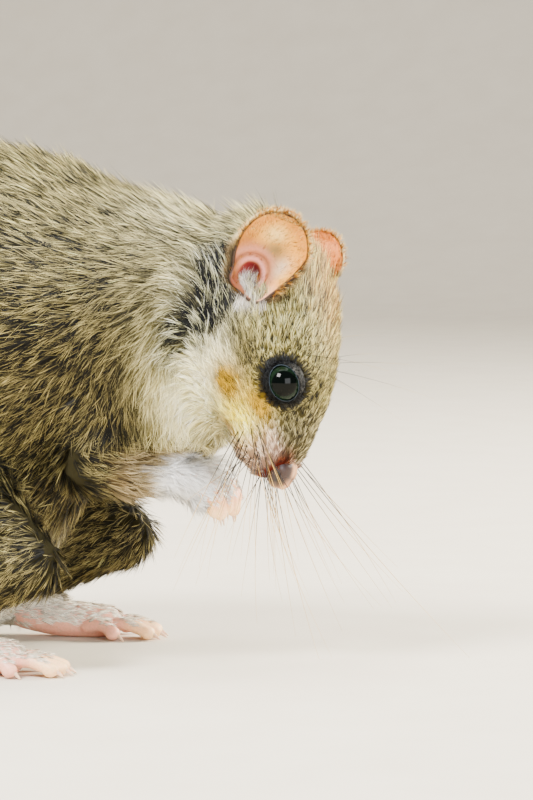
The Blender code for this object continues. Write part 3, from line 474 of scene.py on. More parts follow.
def coat_colours(points):
    """Root, middle and tip colour of the hair at each point, and the share of dark guard hairs.

    A grey-beige back, an olive brown forehead, cream below, black round the eyes, an ochre cheek and a
    lilac muzzle, each laid over the last by a soft share, and painted shade streaked black in the neck's
    fold.
    """
    count = len(points)
    h = in_head(points)
    h[:, 2] = np.abs(h[:, 2])
    body = points * (1, 0, 1) + np.abs(points * (0, 1, 0))
    root = np.tile(plain(28, 28, 22), (count, 1))
    middle = np.tile(plain(89, 83, 60), (count, 1))
    tip = np.tile(plain(195, 183, 139), (count, 1))
    guard = np.full(count, 0.48)

    def lay(share, new_root, new_middle, new_tip, new_guard):
        """Each value moves towards the new one by the share."""
        share = np.clip(share, 0, 1)[:, None]
        root[:] = root * (1 - share) + plain(*new_root) * share
        middle[:] = middle * (1 - share) + plain(*new_middle) * share
        tip[:] = tip * (1 - share) + plain(*new_tip) * share
        guard[:] = guard * (1 - share[:, 0]) + new_guard * share[:, 0]

    on_head = ease(h[:, 0], 2, 12) * ease(points[:, 0], 42, 49)
    # the sides darken low down and towards the shoulder: partly the coat's own darker olive, partly painted
    # shade on the trunk's lower side
    flank = ease(points[:, 2], 68, 50) * (1 - 0.4 * ease(points[:, 2], 44, 30))
    flank = flank * (0.45 + 0.55 * ease(points[:, 0], -6, 18))
    lay(0.95 * flank, (15, 14, 9), (47, 43, 29), (160, 147, 106), 0.60)
    nape = spot(body, (45.0, 8.0, 71.0), (9.0, 11.0, 6.0))
    lay(0.75 * nape, (54, 52, 40), (176, 168, 134), (248, 240, 204), 0.28)
    upper = ease(h[:, 1], -2.5, 3.0)
    lay(on_head * upper, (30, 28, 17), (132, 122, 80), (244, 232, 178), 0.47)
    snout = on_head * ease(h[:, 0], 20.0, 27.0) * upper
    lay(snout, (26, 24, 15), (100, 92, 60), (208, 194, 140), 0.50)
    forehead = on_head * ease(h[:, 1], 8, 14)
    lay(forehead * 0.8, (44, 28, 12), (134, 86, 36), (228, 164, 84), 0.44)

    under = ease(points[:, 2] + 0.9 * points[:, 0] * ease(points[:, 0], 0, 30), 66, 52)
    belly = ease(points[:, 2], 26, 8) * ease(np.abs(points[:, 1]), 19, 13) * ease(points[:, 0], -18, -4)
    lay(belly, (150, 146, 132), (222, 216, 192), (242, 238, 220), 0.02)
    chest = ease(points[:, 0], 33, 43) * ease(points[:, 2], 60, 46) * (1 - on_head)
    lay(chest * (0.45 + 0.25 * under), (120, 112, 74), (216, 204, 148), (246, 236, 190), 0.16)
    neck = spot(body, (44.6, 13.0, 42.0), (5.0, 7.0, 12.0))
    lay(1.15 * neck, (186, 174, 124), (244, 234, 184), (254, 250, 222), 0.03)
    throat = on_head * ease(h[:, 1], -1.0, -5.0)
    lay(throat, (196, 186, 146), (244, 237, 198), (254, 251, 230), 0.03)

    muzzle = on_head * ease(h[:, 0], 30.2, 33.0) * ease(h[:, 1], 1.2, -0.8)
    lay(muzzle, (108, 86, 76), (192, 166, 148), (238, 220, 202), 0.12)
    cheek = spot(h, (28.6, -4.6, 8.0), (3.6, 3.4, 4.0))
    lay(1.2 * cheek, (160, 140, 60), (238, 216, 110), (252, 242, 176), 0.04)
    under_eye = spot(h, (28.7, -0.9, 8.2), (2.8, 2.1, 3.4))
    lay(1.3 * under_eye, (62, 50, 2), (132, 104, 4), (194, 158, 30), 0.22)
    behind_cheek = spot(h, (24.6, -4.4, 9.6), (4.0, 2.6, 3.8))
    lay(1.25 * behind_cheek, (58, 47, 2), (116, 92, 3), (178, 144, 24), 0.28)
    behind_eye = spot(h, (21.2, 0.2, 11.4), (3.4, 1.8, 3.4))
    lay(0.85 * behind_eye, (30, 28, 16), (78, 70, 42), (172, 158, 106), 0.50)
    bridge = on_head * ease(h[:, 0], 28.0, 34.0) * ease(h[:, 1], -1.4, 0.6)
    lay(0.75 * bridge, (48, 44, 34), (112, 104, 82), (180, 172, 142), 0.4)
    # dark red-brown hair beside the nose: partly its own colour, partly painted shade round the nostril
    nose_side_hair_and_shade = spot(h, (37.2, -1.0, 3.2), (2.3, 2.0, 1.7))
    lay(1.4 * nose_side_hair_and_shade, (36, 15, 10), (76, 40, 29), (120, 80, 62), 0.34)
    mouth_corner = spot(h, (29.8, -7.6, 5.4), (1.6, 1.3, 2.0))
    lay(0.9 * mouth_corner, (92, 58, 30), (136, 92, 52), (166, 122, 78), 0.1)

    # painted shade: dark roots, then black streaks, where shadow falls in the crease between neck and
    # shoulder and behind the ear
    painted_fold_shade = (0.7 * spot(h, (10.2, 0.2, 13.0), (3.0, 2.6, 3.4))
            + 0.8 * spot(body, (50.0, 12.2, 62.4), (2.8, 4.0, 3.2))
            + 0.9 * spot(body, (49.0, 13.0, 58.0), (3.0, 4.0, 3.2))
            + 1.1 * spot(body, (46.6, 15.4, 53.4), (4.0, 4.0, 3.4)))
    streak = ease(drift(points * (1, 1, 0.55), 0.42, 8), -0.10, 0.03)
    lay(1.4 * painted_fold_shade, (4, 6, 6), (160, 158, 128), (250, 246, 216), 0.50)
    lay(1.6 * painted_fold_shade * streak, (2, 4, 4), (6, 9, 9), (24, 31, 29), 0.80)
    painted_fold_end_shade = (0.2 + 0.8 * streak) * spot(body, (44.4, 16.3, 50.0), (2.6, 4.0, 2.4))
    lay(painted_fold_end_shade, (20, 22, 18), (54, 58, 48), (120, 122, 100), 0.6)
    below_ear = spot(h, (14.4, 2.2, 13.2), (1.2, 1.4, 3.0))
    lay(0.9 * below_ear, (190, 184, 180), (228, 224, 222), (246, 244, 246), 0.0)
    lay(ease(round_the_eye(points), 1.14, 0.98), (9, 10, 11), (22, 23, 25), (58, 60, 62), 0.5)
    before_eye = spot(h, (29.6, 3.0, 7.0), (2.4, 1.4, 2.6))
    lay(0.4 * before_eye, (30, 28, 22), (66, 62, 48), (120, 112, 86), 0.6)

    forearm = ease(from_side_spot(points, 37.5, 30.0), 8.5, 6.0) * ease(points[:, 2], 37, 33)
    lay(forearm, (70, 60, 46), (122, 108, 84), (176, 164, 138), 0.25)
    wrist = ease(from_side_spot(points, 40.0, 29.2), 5.2, 3.0) * ease(points[:, 2], 36, 33)
    lay(wrist, (232, 228, 222), (251, 249, 246), (255, 255, 253), 0.0)
    foot = ease(points[:, 2], 9.5, 6.0) * ease(np.abs(points[:, 1]), 14, 17) * ease(points[:, 0], -14, -8)
    lay(foot, (150, 140, 124), (206, 198, 180), (230, 224, 210), 0.05)
    return root, middle, tip, guard


def painted_material(name, roughness, gloss):
    """A material that takes its colour from the mesh's markings, with its shader and paint node."""
    made = bpy.data.materials.new(name)
    made.use_nodes = True
    tree = made.node_tree
    shader = tree.nodes["Principled BSDF"]
    shader.inputs["Roughness"].default_value = roughness
    shader.inputs["Specular IOR Level"].default_value = gloss
    paint = tree.nodes.new("ShaderNodeAttribute")
    paint.attribute_name = "marking"
    tree.links.new(paint.outputs["Color"], shader.inputs["Base Color"])
    return made, shader, paint


def skin_material(name, roughness, warmth, gloss=0.5):
    """Soft skin: the painted colour broken by fine grain, with pores as a bump."""
    made, shader, paint = painted_material(name, roughness, gloss)
    tree = made.node_tree
    place = tree.nodes.new("ShaderNodeTexCoord")
    grain = tree.nodes.new("ShaderNodeTexNoise")
    grain.inputs["Scale"].default_value = 2600
    grain.inputs["Detail"].default_value = 4
    tone = tree.nodes.new("ShaderNodeMapRange")
    tone.inputs["To Min"].default_value = 0.75
    tone.inputs["To Max"].default_value = 1.2
    mixed = tree.nodes.new("ShaderNodeMix")
    mixed.data_type = "RGBA"
    mixed.blend_type = "MULTIPLY"
    mixed.inputs["Factor"].default_value = 1.0
    bump = tree.nodes.new("ShaderNodeBump")
    bump.inputs["Strength"].default_value = 0.35
    bump.inputs["Distance"].default_value = 0.0001
    tree.links.new(place.outputs["Object"], grain.inputs["Vector"])
    tree.links.new(grain.outputs["Fac"], tone.inputs["Value"])
    tree.links.new(grain.outputs["Fac"], bump.inputs["Height"])
    tree.links.new(paint.outputs["Color"], mixed.inputs[6])
    tree.links.new(tone.outputs["Result"], mixed.inputs[7])
    tree.links.new(mixed.outputs[2], shader.inputs["Base Color"])
    tree.links.new(bump.outputs["Normal"], shader.inputs["Normal"])
    shader.inputs["Subsurface Weight"].default_value = warmth
    shader.inputs["Subsurface Radius"].default_value = (0.0012, 0.0005, 0.0003)
    shader.inputs["Subsurface Scale"].default_value = 1.0
    return made


def dress(obj, colours, finish):
    """Keeps a colour for each point, or one for all, under the name marking, and sets the material."""
    layer = obj.data.color_attributes.new("marking", "FLOAT_COLOR", "POINT")
    full = np.ones((len(obj.data.vertices), 4), np.float32)
    full[:, :3] = colours
    layer.data.foreach_set("color", full.ravel())
    obj.data.materials.append(finish)


def bare_skin_colours(points):
    """The hide between the hairs: dark as their shade, red-brown at the lips and the snout's end."""
    root, middle = coat_colours(points)[:2]
    colours = root * 0.6 + middle * 0.22
    h = in_head(points)
    h[:, 2] = np.abs(h[:, 2])
    lips = np.zeros(len(points))
    for t in np.linspace(0, MOUTH_REACH, 36):
        lips = np.maximum(lips, np.exp(-np.sum((h - np.array(mouth_line(t))) ** 2, axis=1) / 0.5))
    colours = colours * (1 - lips[:, None]) + plain(104, 52, 44) * lips[:, None]
    snout = (ease(h[:, 0], 36.2, 37.0) * (points[:, 0] > 49))[:, None]
    return colours * (1 - snout) + plain(62, 26, 18) * snout


hide_finish = skin_material("hide", roughness=0.9, warmth=0.0, gloss=0.1)
dress(skin, bare_skin_colours(places(skin.data)), hide_finish)
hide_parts("torso", "neck", "head", "foreleg_left", "foreleg_right", "hindleg_left", "hindleg_right")
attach(skin, "root")


# The skin of the tail. A slim flat rod of the same hide lies under the long hair. It is let into the
# rump at its root and rests on the floor.

tail_skin = run_together("tail_skin", [tail_form()], voxel=0.7, smoothing=2)
dress(tail_skin, plain(96, 88, 78), hide_finish)
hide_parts("tail_1", "tail_2", "tail_3")
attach(tail_skin, "root")


# The coat. Soft, dense hair in small tufts that share a root and draw together towards their tips,
# rooted in the skin and laid along the body: short on the face, long and raised on the back.

def hair_length(points):
    """Length in mm: 5 on the body, 2 to 4 on the crown, about 1.2 on the muzzle, short on the legs."""
    h = in_head(points)
    on_head = ease(h[:, 0], 0, 9) * ease(points[:, 0], 40, 48)
    body = 5.0 - 0.3 * ease(points[:, 2], 52, 20)
    head_hair = 4.2 - 2.2 * ease(h[:, 0], 8, 23) - 0.85 * ease(h[:, 0], 25, 34)
    length = body * (1 - on_head) + head_hair * on_head
    leg = ease(points[:, 2], 34, 14) * ease(np.abs(points[:, 1]), 14, 20)
    arm = ease(from_side_spot(points, 34.5, 31), 13, 7) * ease(points[:, 2], 41, 36)
    foot = ease(points[:, 2], 10, 5) * ease(np.abs(points[:, 1]), 13, 17)
    length = length * (1 - 0.32 * leg) * (1 - 0.5 * foot)
    length = length * (1 - arm) + (3.6 - 1.6 * ease(points[:, 0], 34, 40)) * arm
    return length * (0.36 + 0.64 * ease(round_the_eye(points), 0.95, 1.9))


NOSE_FRONT = (41.0, -4.0, 0)
TRUNK_BACK = np.array([-1.0, 0, 0])
TO_THE_TOES = np.array([1.0, 0, -0.1])


def lie_of_coat(points):
    """Way that the hair points: back over the head from the nose, back along the trunk, down its sides.

    The trunk's way turns with height from level at the back to straight down at the chest. Round the
    eye it runs outwards, on the forearm to the hand, and on the hind foot to the toes.
    """
    h = in_head(points)
    on_head = (ease(h[:, 0], 1, 9) * ease(points[:, 0], 41, 48))[:, None]
    side = np.sign(points[:, 1])
    fall = ease(points[:, 2], 74, 36)
    front = ease(points[:, 0], 18, 40)
    rump = ease(points[:, 0], -12, -26)
    down = fall * (0.45 + 0.9 * front) + 0.8 * rump
    trunk = np.stack([-1.0 + 0.9 * fall * front + 0.5 * rump,
                      0.16 * side * (1 - fall) + 0.15 * drift(points, 9.0, 4),
                      0.10 * (1 - fall) - down], axis=-1)
    belly = ease(points[:, 2], 12, 4)[:, None] * ease(np.abs(points[:, [1]]), 17, 13)
    trunk = unit(trunk) * (1 - belly) + TRUNK_BACK * belly
    head_way = unit(points - head_point(*NOSE_FRONT)) + 0.16 * drift(points, 5.0, 9)[:, None] * HEAD_AXES[2]
    way = trunk * (1 - on_head) + head_way * on_head
    for m in (1, -1):
        from_eye = points - eye_centre(m)
        near = ease(np.linalg.norm(from_eye, axis=1), 5.6, 3.6)[:, None]
        way = way * (1 - 0.7 * near) + unit(from_eye) * near
    arm = (ease(from_side_spot(points, 34.5, 31), 12, 7) * ease(points[:, 2], 38, 35)
           * ease(np.abs(points[:, 1]), 2, 4))[:, None]
    arm_way = np.stack([np.full(len(points), 0.85), -0.5 * side, np.full(len(points), -0.15)], axis=-1)
    way = way * (1 - arm) + arm_way * arm
    foot = ease(points[:, 2], 9, 6) * ease(np.abs(points[:, 1]), 14, 17) * ease(points[:, 0], -16, -8)
    return way * (1 - foot[:, None]) + TO_THE_TOES * foot[:, None]


def hair_lift(points):
    """Angle in radians between hair and skin: most on the upper back and crown, least on the face."""
    h = in_head(points)
    on_head = ease(h[:, 0], 1, 9) * ease(points[:, 0], 41, 48)
    back = 19 + 8 * ease(points[:, 2], 60, 76)
    crown = 17 + 10 * ease(h[:, 1], 4, 11) * ease(h[:, 0], 32, 16)
    return np.radians(back * (1 - on_head) + crown * on_head)


def grows_hair(points):
    """True where hair grows: not in the eye sockets and ears' bowls, nor on lips, nose, palms and soles."""
    h = in_head(points)
    h[:, 2] = np.abs(h[:, 2])
    to_eye = np.minimum(*(np.linalg.norm(points - eye_centre(m), axis=1) for m in (1, -1)))
    grows = (to_eye > 3.2) & ((h[:, 0] < 36.9) | (points[:, 0] < 49)) & (points[:, 2] > 0.7)
    for t in np.linspace(0, MOUTH_REACH, 36):
        grows &= np.linalg.norm(h - np.array(mouth_line(t)), axis=1) > 0.42
    palm = from_side_spot(points, 43.0, 28.4) < 1.6
    for m in (1, -1):
        grows &= over_ear_bowl(points, m) < 0
    return grows & ~palm


def scatter(obj, density, seed):
    """Tuft roots drawn over the faces, each face with a chance of its area times the density there."""
    mesh = obj.data
    mesh.calc_loop_triangles()
    corners = np.empty(len(mesh.loop_triangles) * 3, np.int32)
    mesh.loop_triangles.foreach_get("vertices", corners)
    corners = corners.reshape(-1, 3)
    points, normals = places(mesh), point_normals(mesh)
    a, b, c = (points[corners[:, k]] for k in range(3))
    area = np.linalg.norm(np.cross(b - a, c - a), axis=1) / 2
    share = area * density((a + b + c) / 3)
    draw = np.random.default_rng(seed)
    chosen = draw.choice(len(share), int(share.sum()), p=share / share.sum())
    u, v = draw.random((2, len(chosen), 1))
    turn = u + v > 1
    u, v = np.where(turn, 1 - u, u), np.where(turn, 1 - v, v)
    spots = a[chosen] * (1 - u - v) + b[chosen] * u + c[chosen] * v
    lean = [normals[corners[chosen, k]] for k in range(3)]
    return spots, unit(lean[0] * (1 - u - v) + lean[1] * u + lean[2] * v)


def hair_material(name, roughness):
    """Hair keratin: the painted colour, softly glossy."""
    return painted_material(name, roughness, gloss=0.18)[0]


hair_finish = hair_material("hair", roughness=0.62)
DEEPEST_ROOT = 0.30
LOWEST_HAIR = 0.15
UNWRAP_PATCH = 0.003


def even_hair(count, root, middle, tip, guard):
    """The same three colours and share of dark guard hairs for every tuft."""
    return (*(np.tile(plain(*c), (count, 1)) for c in (root, middle, tip)), np.full(count, guard))


def tuft_mesh(name, roots, normals, ways, lengths, lifts, colours, hairs, width, spread, unwrap, seed,
              sections=(0, 0.5, 1)):
    """One mesh of many tufts, each of a few flat tapered hairs. Lengths and lifts may be single numbers.

    A hair's middle line is start + offset * (1 - clump * t) + length * (t * ahead + (rise * t - 0.12 * t^2)
    * out + sway * t^2 * beside), and its edges lie half a width to either side, narrowing to a point.
    Where the way meets the skin head on, as in a whorl, each tuft strays from it, to cover the skin.
    """
    draw = np.random.default_rng(seed)
    count = len(roots)
    total = count * hairs
    lengths = lengths + np.zeros(count)
    lifts = lifts + np.zeros(count)
    ways = unit(ways)
    ways = ways - normals * np.sum(ways * normals, axis=1, keepdims=True)
    stray = 0.08 + 1.1 * (1 - np.linalg.norm(ways, axis=1, keepdims=True)) ** 2
    ways = ways + stray * draw.standard_normal((count, 3))
    ways = unit(ways - normals * np.sum(ways * normals, axis=1, keepdims=True))

    def per_hair(values):
        """Each tuft's value, repeated for its hairs."""
        return np.repeat(values, hairs, axis=0)

    # every hair's own place in its tuft, length, bend and lift
    out, ahead, beside = (per_hair(k) for k in (normals, ways, np.cross(normals, ways)))
    turn = draw.random(total) * 2 * np.pi
    reach = spread * np.sqrt(draw.random(total))
    offset = reach[:, None] * (np.cos(turn)[:, None] * ahead + np.sin(turn)[:, None] * beside)
    length = per_hair(lengths * np.exp(draw.uniform(-0.2, 0.2, count)))
    length = length * np.exp(draw.uniform(-0.16, 0.16, total))
    sway = per_hair(0.17 * draw.standard_normal(count)) + 0.12 * draw.standard_normal(total)
    lift = per_hair(lifts * np.exp(0.22 * draw.standard_normal(count)))
    lift = lift + 0.07 * draw.standard_normal(total)
    rise = np.sin(lift + 0.10)
    clump = per_hair(0.20 + 0.40 * draw.random(count))
    t = np.array(sections)
    start = per_hair(roots - normals * np.minimum(DEEPEST_ROOT, 0.05 * lengths)[:, None])
    line = (start[:, None] + offset[:, None] * (1 - clump[:, None, None] * t[None, :, None])
            + length[:, None, None] * (t[None, :, None] * ahead[:, None]
                                       + (rise[:, None] * t - 0.12 * t**2)[..., None] * out[:, None]
                                       + (sway[:, None] * t**2)[..., None] * beside[:, None]))
    tilt = draw.uniform(-0.9, 0.9, total)
    broad = np.cos(tilt)[:, None] * beside + np.sin(tilt)[:, None] * out
    half = 0.5 * width * np.exp(0.15 * draw.standard_normal(total))
    taper = np.clip(1.25 * (1 - t) ** 0.6, 0, 1) * np.where(t == 0, 0.85, 1)
    edge = (half[:, None] * taper)[..., None] * broad[:, None]

    # two points at each section and one at the tip, quads between them and a last triangle
    sides = len(t) - 1
    pairs = np.stack([line[:, :-1] - edge[:, :-1], line[:, :-1] + edge[:, :-1]], axis=2)
    points = np.concatenate([pairs.reshape(total, -1, 3), line[:, -1:]], axis=1)
    points[..., 2] = np.maximum(points[..., 2], LOWEST_HAIR)
    per = points.shape[1]
    quads = [(2 * k + 1, 2 * k, 2 * k + 2, 2 * k + 3) for k in range(sides - 1)]
    corners = np.array([i for quad in quads for i in quad] + [2 * sides - 1, 2 * sides - 2, 2 * sides])
    starts = 4 * np.arange(sides)
    hair = np.arange(total)[:, None]
    all_corners = (hair * per + corners).ravel()
    mesh = bpy.data.meshes.new(name)
    mesh.vertices.add(total * per)
    mesh.vertices.foreach_set("co", ((points - SEAT) * MM).astype(np.float32).ravel())
    mesh.loops.add(len(all_corners))
    mesh.loops.foreach_set("vertex_index", all_corners.astype(np.int32))
    mesh.polygons.add(total * sides)
    mesh.polygons.foreach_set("loop_start", (hair * len(corners) + starts).ravel().astype(np.int32))
    mesh.polygons.foreach_set("use_smooth", np.ones(total * sides, bool))
    mesh.update(calc_edges=True)
    made = bpy.data.objects.new(name, mesh)
    model.objects.link(made)

    # dark at the root, partly the hair's own dark base and partly painted shade deep in the coat, the
    # middle's colour half way up, the tip's at the end, and some hairs all dark
    root, middle, tip, guard = (per_hair(c) for c in colours)
    dark = (0.65 * draw.random(total) + 0.35 * per_hair(draw.random(count)) < guard)[:, None]
    shade = per_hair(np.exp(0.14 * draw.standard_normal(count))) * np.exp(0.30 * draw.standard_normal(total))
    tint = np.zeros((total, per, 3))
    for k, at in enumerate(t):
        light = middle * (1 - ease(at, 0.45, 1.0)) + tip * ease(at, 0.45, 1.0)
        light = root * 0.8 * (1 - ease(at, 0.0, 0.5)) + light * ease(at, 0.0, 0.5)
        deep = root * (0.55 + 0.35 * at)
        tint[:, 2 * k:2 * k + 2] = (np.where(dark, deep, light) * shade[:, None])[:, None]
    dress(made, np.clip(tint, 0, 1).reshape(-1, 3), hair_finish)

    # a small patch of the unwrap for each tuft, with its hairs side by side
    along = np.append(np.repeat(t[:-1], 2), 1.0) - 0.5
    aside = np.append(np.tile([-0.5, 0.5], sides), 0.0) / hairs
    aside = ((hair % hairs + 0.5) / hairs - 0.5) + aside
    patch = per_hair(unwrap)[:, None] + UNWRAP_PATCH * np.stack([aside, along + 0 * aside], axis=-1)
    bake = mesh.uv_layers.new(name="OFBake")
    bake.data.foreach_set("uv", patch.reshape(-1, 2)[all_corners].astype(np.float32).ravel())

    # hairs are lit much as the skin below them, so a tuft reads as fur and not as blades
    facing = unit(0.80 * out[:, None] + 0.30 * beside[:, None] * np.sin(tilt)[:, None, None]
                  + 0.22 * ahead[:, None] + 0 * points)
    mesh.normals_split_custom_set_from_vertices(facing.reshape(-1, 3).tolist())
    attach(made, "root")


def round_unwrap(points, centre, axis):
    """Skin opened out like a globe: u is the turn about the axis, v the angle from it, 0.01 to 0.99."""
    axis = unit(np.array(axis, float))
    first = unit(np.cross(axis, (0.3, 1.0, 0.2)))
    second = np.cross(axis, first)
    way = unit(points - np.array(centre))
    u = np.arctan2(way @ second, way @ first)
    v = np.arccos(np.clip(way @ axis, -1, 1))
    return np.stack([0.01 + 0.98 * (k - k.min()) / max(np.ptp(k), 1e-6) for k in (u, v)], axis=-1)


def tufts_a_mm2(points):
    """Tufts to a square mm: more where the hair is short, on the legs, and from shoulders to nose."""
    length = hair_length(points)
    fore = ease(points[:, 0], 24, 46) * ease(points[:, 2], 34, 46)
    leg = ease(points[:, 2], 38, 22) * ease(np.abs(points[:, 1]), 11, 16)
    part = 0.62 + 0.38 * ease(length, 4.0, 4.6) * (1 - fore) + 1.25 * fore + 0.45 * leg
    return (1.75 + 3.3 * ease(length, 4.0, 1.5)) * part * grows_hair(points)


spots, facings = scatter(skin, tufts_a_mm2, seed=21)
spot_head = in_head(spots)
is_head = (spot_head[:, 0] > 4) & (spots[:, 0] > 44) & (spot_head[:, 1] > -13)
is_leg = ~is_head & (hair_length(spots) < 4.3)
is_neck = ~is_head & ~is_leg & (spots[:, 0] > 26)
is_trunk = ~is_head & ~is_leg & ~is_neck
left = spots[:, 1] > 0
high = spots[:, 2] > 60
# hairs in a tuft, their width, and the tuft's spread at the root
tuft_kinds = {
    "head": (7, 0.095, 0.32),
    "leg": (7, 0.13, 0.40),
    "neck": (8, 0.12, 0.48),
    "back": (9, 0.15, 0.58),
    "flank": (9, 0.15, 0.58),
}

# where it grows, how many pieces, and the middle and axis it is opened out round
coat_parts = {
    "coat_head_left": (is_head & (spot_head[:, 2] > 0), 1, (54, 1, 50), HEAD_AXES[0]),
    "coat_head_right": (is_head & (spot_head[:, 2] <= 0), 1, (54, 1, 50), HEAD_AXES[0]),
    "coat_leg_left": (is_leg & left, 1, (10, 18, 26), (0, 1, 0)),
    "coat_leg_right": (is_leg & ~left, 1, (10, -18, 26), (0, -1, 0)),
    "coat_neck_left": (is_neck & left, 1, (36, 0, 55), (1, 0, 0.2)),
    "coat_neck_right": (is_neck & ~left, 1, (36, 0, 55), (1, 0, 0.2)),
    "coat_back": (is_trunk & high, 2, (0, 0, 45), (0, 0, 1)),
    "coat_flank_left": (is_trunk & ~high & left, 2, (0, 0, 38), (0, 1, 0)),
    "coat_flank_right": (is_trunk & ~high & ~left, 2, (0, 0, 38), (0, -1, 0)),
}
number = 100
for name, (chosen, slices, centre, axis) in coat_parts.items():
    cuts = np.quantile(spots[chosen, 0], np.linspace(0, 1, slices + 1))
    hairs, width, spread = tuft_kinds[name.split("_")[1]]
    for k in range(slices):
        number += 1
        inside = chosen & (spots[:, 0] >= cuts[k]) & (spots[:, 0] <= cuts[k + 1])
        at = spots[inside]
        tuft_mesh(f"{name}_{k + 1}" if slices > 1 else name, at, facings[inside], lie_of_coat(at),
                  hair_length(at), hair_lift(at), coat_colours(at), hairs=hairs, width=width,
                  spread=spread, unwrap=round_unwrap(at, centre, axis), seed=number)


# The eyes. A dark, wet, bulging globe on each side, set in the hide's socket. Its wide black pupil leaves
# only a thin ring of dark olive iris.

EYE_BULGE = 0.05


def gaze_way(m):
    """Where an eye looks: out, a little ahead and a little up."""
    return unit(np.array([0.32, 0.22, 0.92 * m]) @ HEAD_AXES)


def eye_frame(m):
    """Gaze, across and lift: three square directions of an eye."""
    gaze = gaze_way(m)
    across = unit(np.cross(gaze, HEAD_AXES[1]))
    return gaze, across, np.cross(across, gaze)


def eye_globe(m):
    """A ball with a fuller front: radius * (1 + bulge * exp(-(angle / 0.7)^2)) round the gaze."""
    gaze, across, lift = eye_frame(m)
    angle = np.linspace(0.03, math.pi - 0.03, 48)[:, None, None]
    a = np.linspace(0, 2 * np.pi, 64, endpoint=False)[None, :, None]
    radius = EYE_RADIUS * (1 + EYE_BULGE * np.exp(-(angle / 0.7) ** 2))
    rings = eye_centre(m) + radius * (np.sin(angle) * (np.cos(a) * across + np.sin(a) * lift)
                                      + np.cos(angle) * gaze)
    front = eye_centre(m) + gaze * EYE_RADIUS * (1 + EYE_BULGE)
    return closed_grid(rings, front, eye_centre(m) - gaze * EYE_RADIUS)


def eye_material():
    """The painted pupil and iris under a clear, wet, mirror-smooth coat."""
    made, shader = painted_material("eye_globe", roughness=0.3, gloss=0.0)[:2]
    shader.inputs["Coat Weight"].default_value = 1.0
    shader.inputs["Coat Roughness"].default_value = 0.03
    shader.inputs["Coat IOR"].default_value = 1.19
    return made


def eye_colours(points, m):
    """Black in the pupil, olive streaks round it and black beyond, by the angle from the gaze."""
    gaze, across, lift = eye_frame(m)
    way = unit(points - eye_centre(m))
    angle = np.arccos(np.clip(way @ gaze, -1, 1))
    turn = np.arctan2(way @ lift, way @ across)
    streak = 0.75 + 0.25 * np.sin(turn * 37 + 2 * np.sin(turn * 5))
    ring = (ease(angle, 0.62, 0.72) * ease(angle, 1.05, 0.85) * streak)[:, None]
    # the pupil's black carries a faint green, a painted reflection of dark green surroundings
    return plain(5, 9, 8) * (1 - ring) + plain(24, 34, 26) * ring


eye_finish = eye_material()
for m, tag in ((1, "left"), (-1, "right")):
    eye = new_piece("dressed_eye_" + tag, *eye_globe(m))
    eye.data.shade_smooth()
    dress(eye, eye_colours(places(eye.data), m), eye_finish)
    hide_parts("eye_" + tag)
    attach(eye, "root")


# The lids. A thin black rim of skin hugs each globe, drawn out a little at the front and back corners,
# and runs out under the fur.

def lid_edge(turn):
    """Distance of the lid's edge from the gaze: 2.66 - 0.52 sin^2 + 0.16 cos^8, tall and with corners."""
    return 2.66 - 0.52 * np.sin(turn) ** 2 + 0.16 * np.cos(turn) ** 8


def lid_ring(m):
    """A profile carried round the gaze: along the ball from the lid's edge, then down under the fur."""
    gaze, across, lift = eye_frame(m)
    a = np.linspace(0, 2 * np.pi, 96, endpoint=False)[:, None]
    edge = lid_edge(a)
    step = np.array([0.0, 0.0, 0.10, 0.28])[None]
    over = np.array([-0.20, 0.08, 0.12, 0.04])[None]
    hug = np.sqrt(np.maximum((EYE_RADIUS * 1.04) ** 2 - (edge + step) ** 2, 0.3)) + over
    skirt_radius, skirt_height = np.array([[3.02, 3.08, 2.95, 2.6], [0.85, -0.1, -1.2, -0.6]])
    radius = np.concatenate([edge + step, skirt_radius + 0 * a], axis=1)
    height = np.concatenate([hug, skirt_height + 0 * a], axis=1)
    radius = through(radius.T, 40).T[..., None]
    height = through(height.T, 40).T[..., None]
    rings = eye_centre(m) + radius * (np.cos(a)[..., None] * across + np.sin(a)[..., None] * lift)
    rings = rings + height * gaze
    return rings.reshape(-1, 3), grid_faces(*rings.shape[:2], (1, 1))


def past_edge(points, m):
    """How far past the lid's edge each point lies, across the gaze, in mm."""
    across, lift = eye_frame(m)[1:]
    away = points - eye_centre(m)
    turn = np.arctan2(away @ lift, away @ across)
    return np.hypot(away @ lift, away @ across) - lid_edge(turn)


def turn_outwards(obj):
    """Makes every face of a closed mesh point out."""
    work = bmesh.new()
    work.from_mesh(obj.data)
    bmesh.ops.recalc_face_normals(work, faces=work.faces)
    work.to_mesh(obj.data)
    work.free()


def closed_piece(name, points, faces):
    """A new smooth piece with its faces turned out."""
    made = new_piece(name, points, faces)
    turn_outwards(made)
    made.data.shade_smooth()
    return made


lid_finish = skin_material("lid_skin", roughness=0.85, warmth=0.0, gloss=0.15)
for m, tag in ((1, "left"), (-1, "right")):
    lid = closed_piece("lid_" + tag, *lid_ring(m))
    # painted reflection: the wet lid edge is painted a paler blue-grey as a sheen
    edge_sheen = ease(past_edge(places(lid.data), m), 0.16, 0.04)[:, None]
    dress(lid, plain(9, 9, 9) * (1 - edge_sheen) + plain(50, 56, 62) * edge_sheen, lid_finish)
    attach(lid, "root")

    def down_on_lid(points):
        """Down to a square mm, from just outside the lid's edge to where the coat takes over."""
        in_front = (points - eye_centre(m)) @ gaze_way(m) > 0.2
        return 26.0 * ease(past_edge(points, m), 0.10, 0.28) * in_front

    at, out_of = scatter(lid, down_on_lid, seed=11 + m)
    tuft_mesh("lid_down_" + tag, at, out_of, at - eye_centre(m), 0.55, 0.30,
              even_hair(len(at), (9, 10, 11), (24, 25, 27), (60, 62, 64), 0.4), hairs=6, width=0.08,
              spread=0.15, unwrap=round_unwrap(at, eye_centre(m), gaze_way(m)), seed=15 + m)


# The ears. Thin, round, almost bare cups of skin that glow where light comes through, with folds that
# run out from the hollow at the root, a soft lobe behind it, golden down and white hair at the opening.

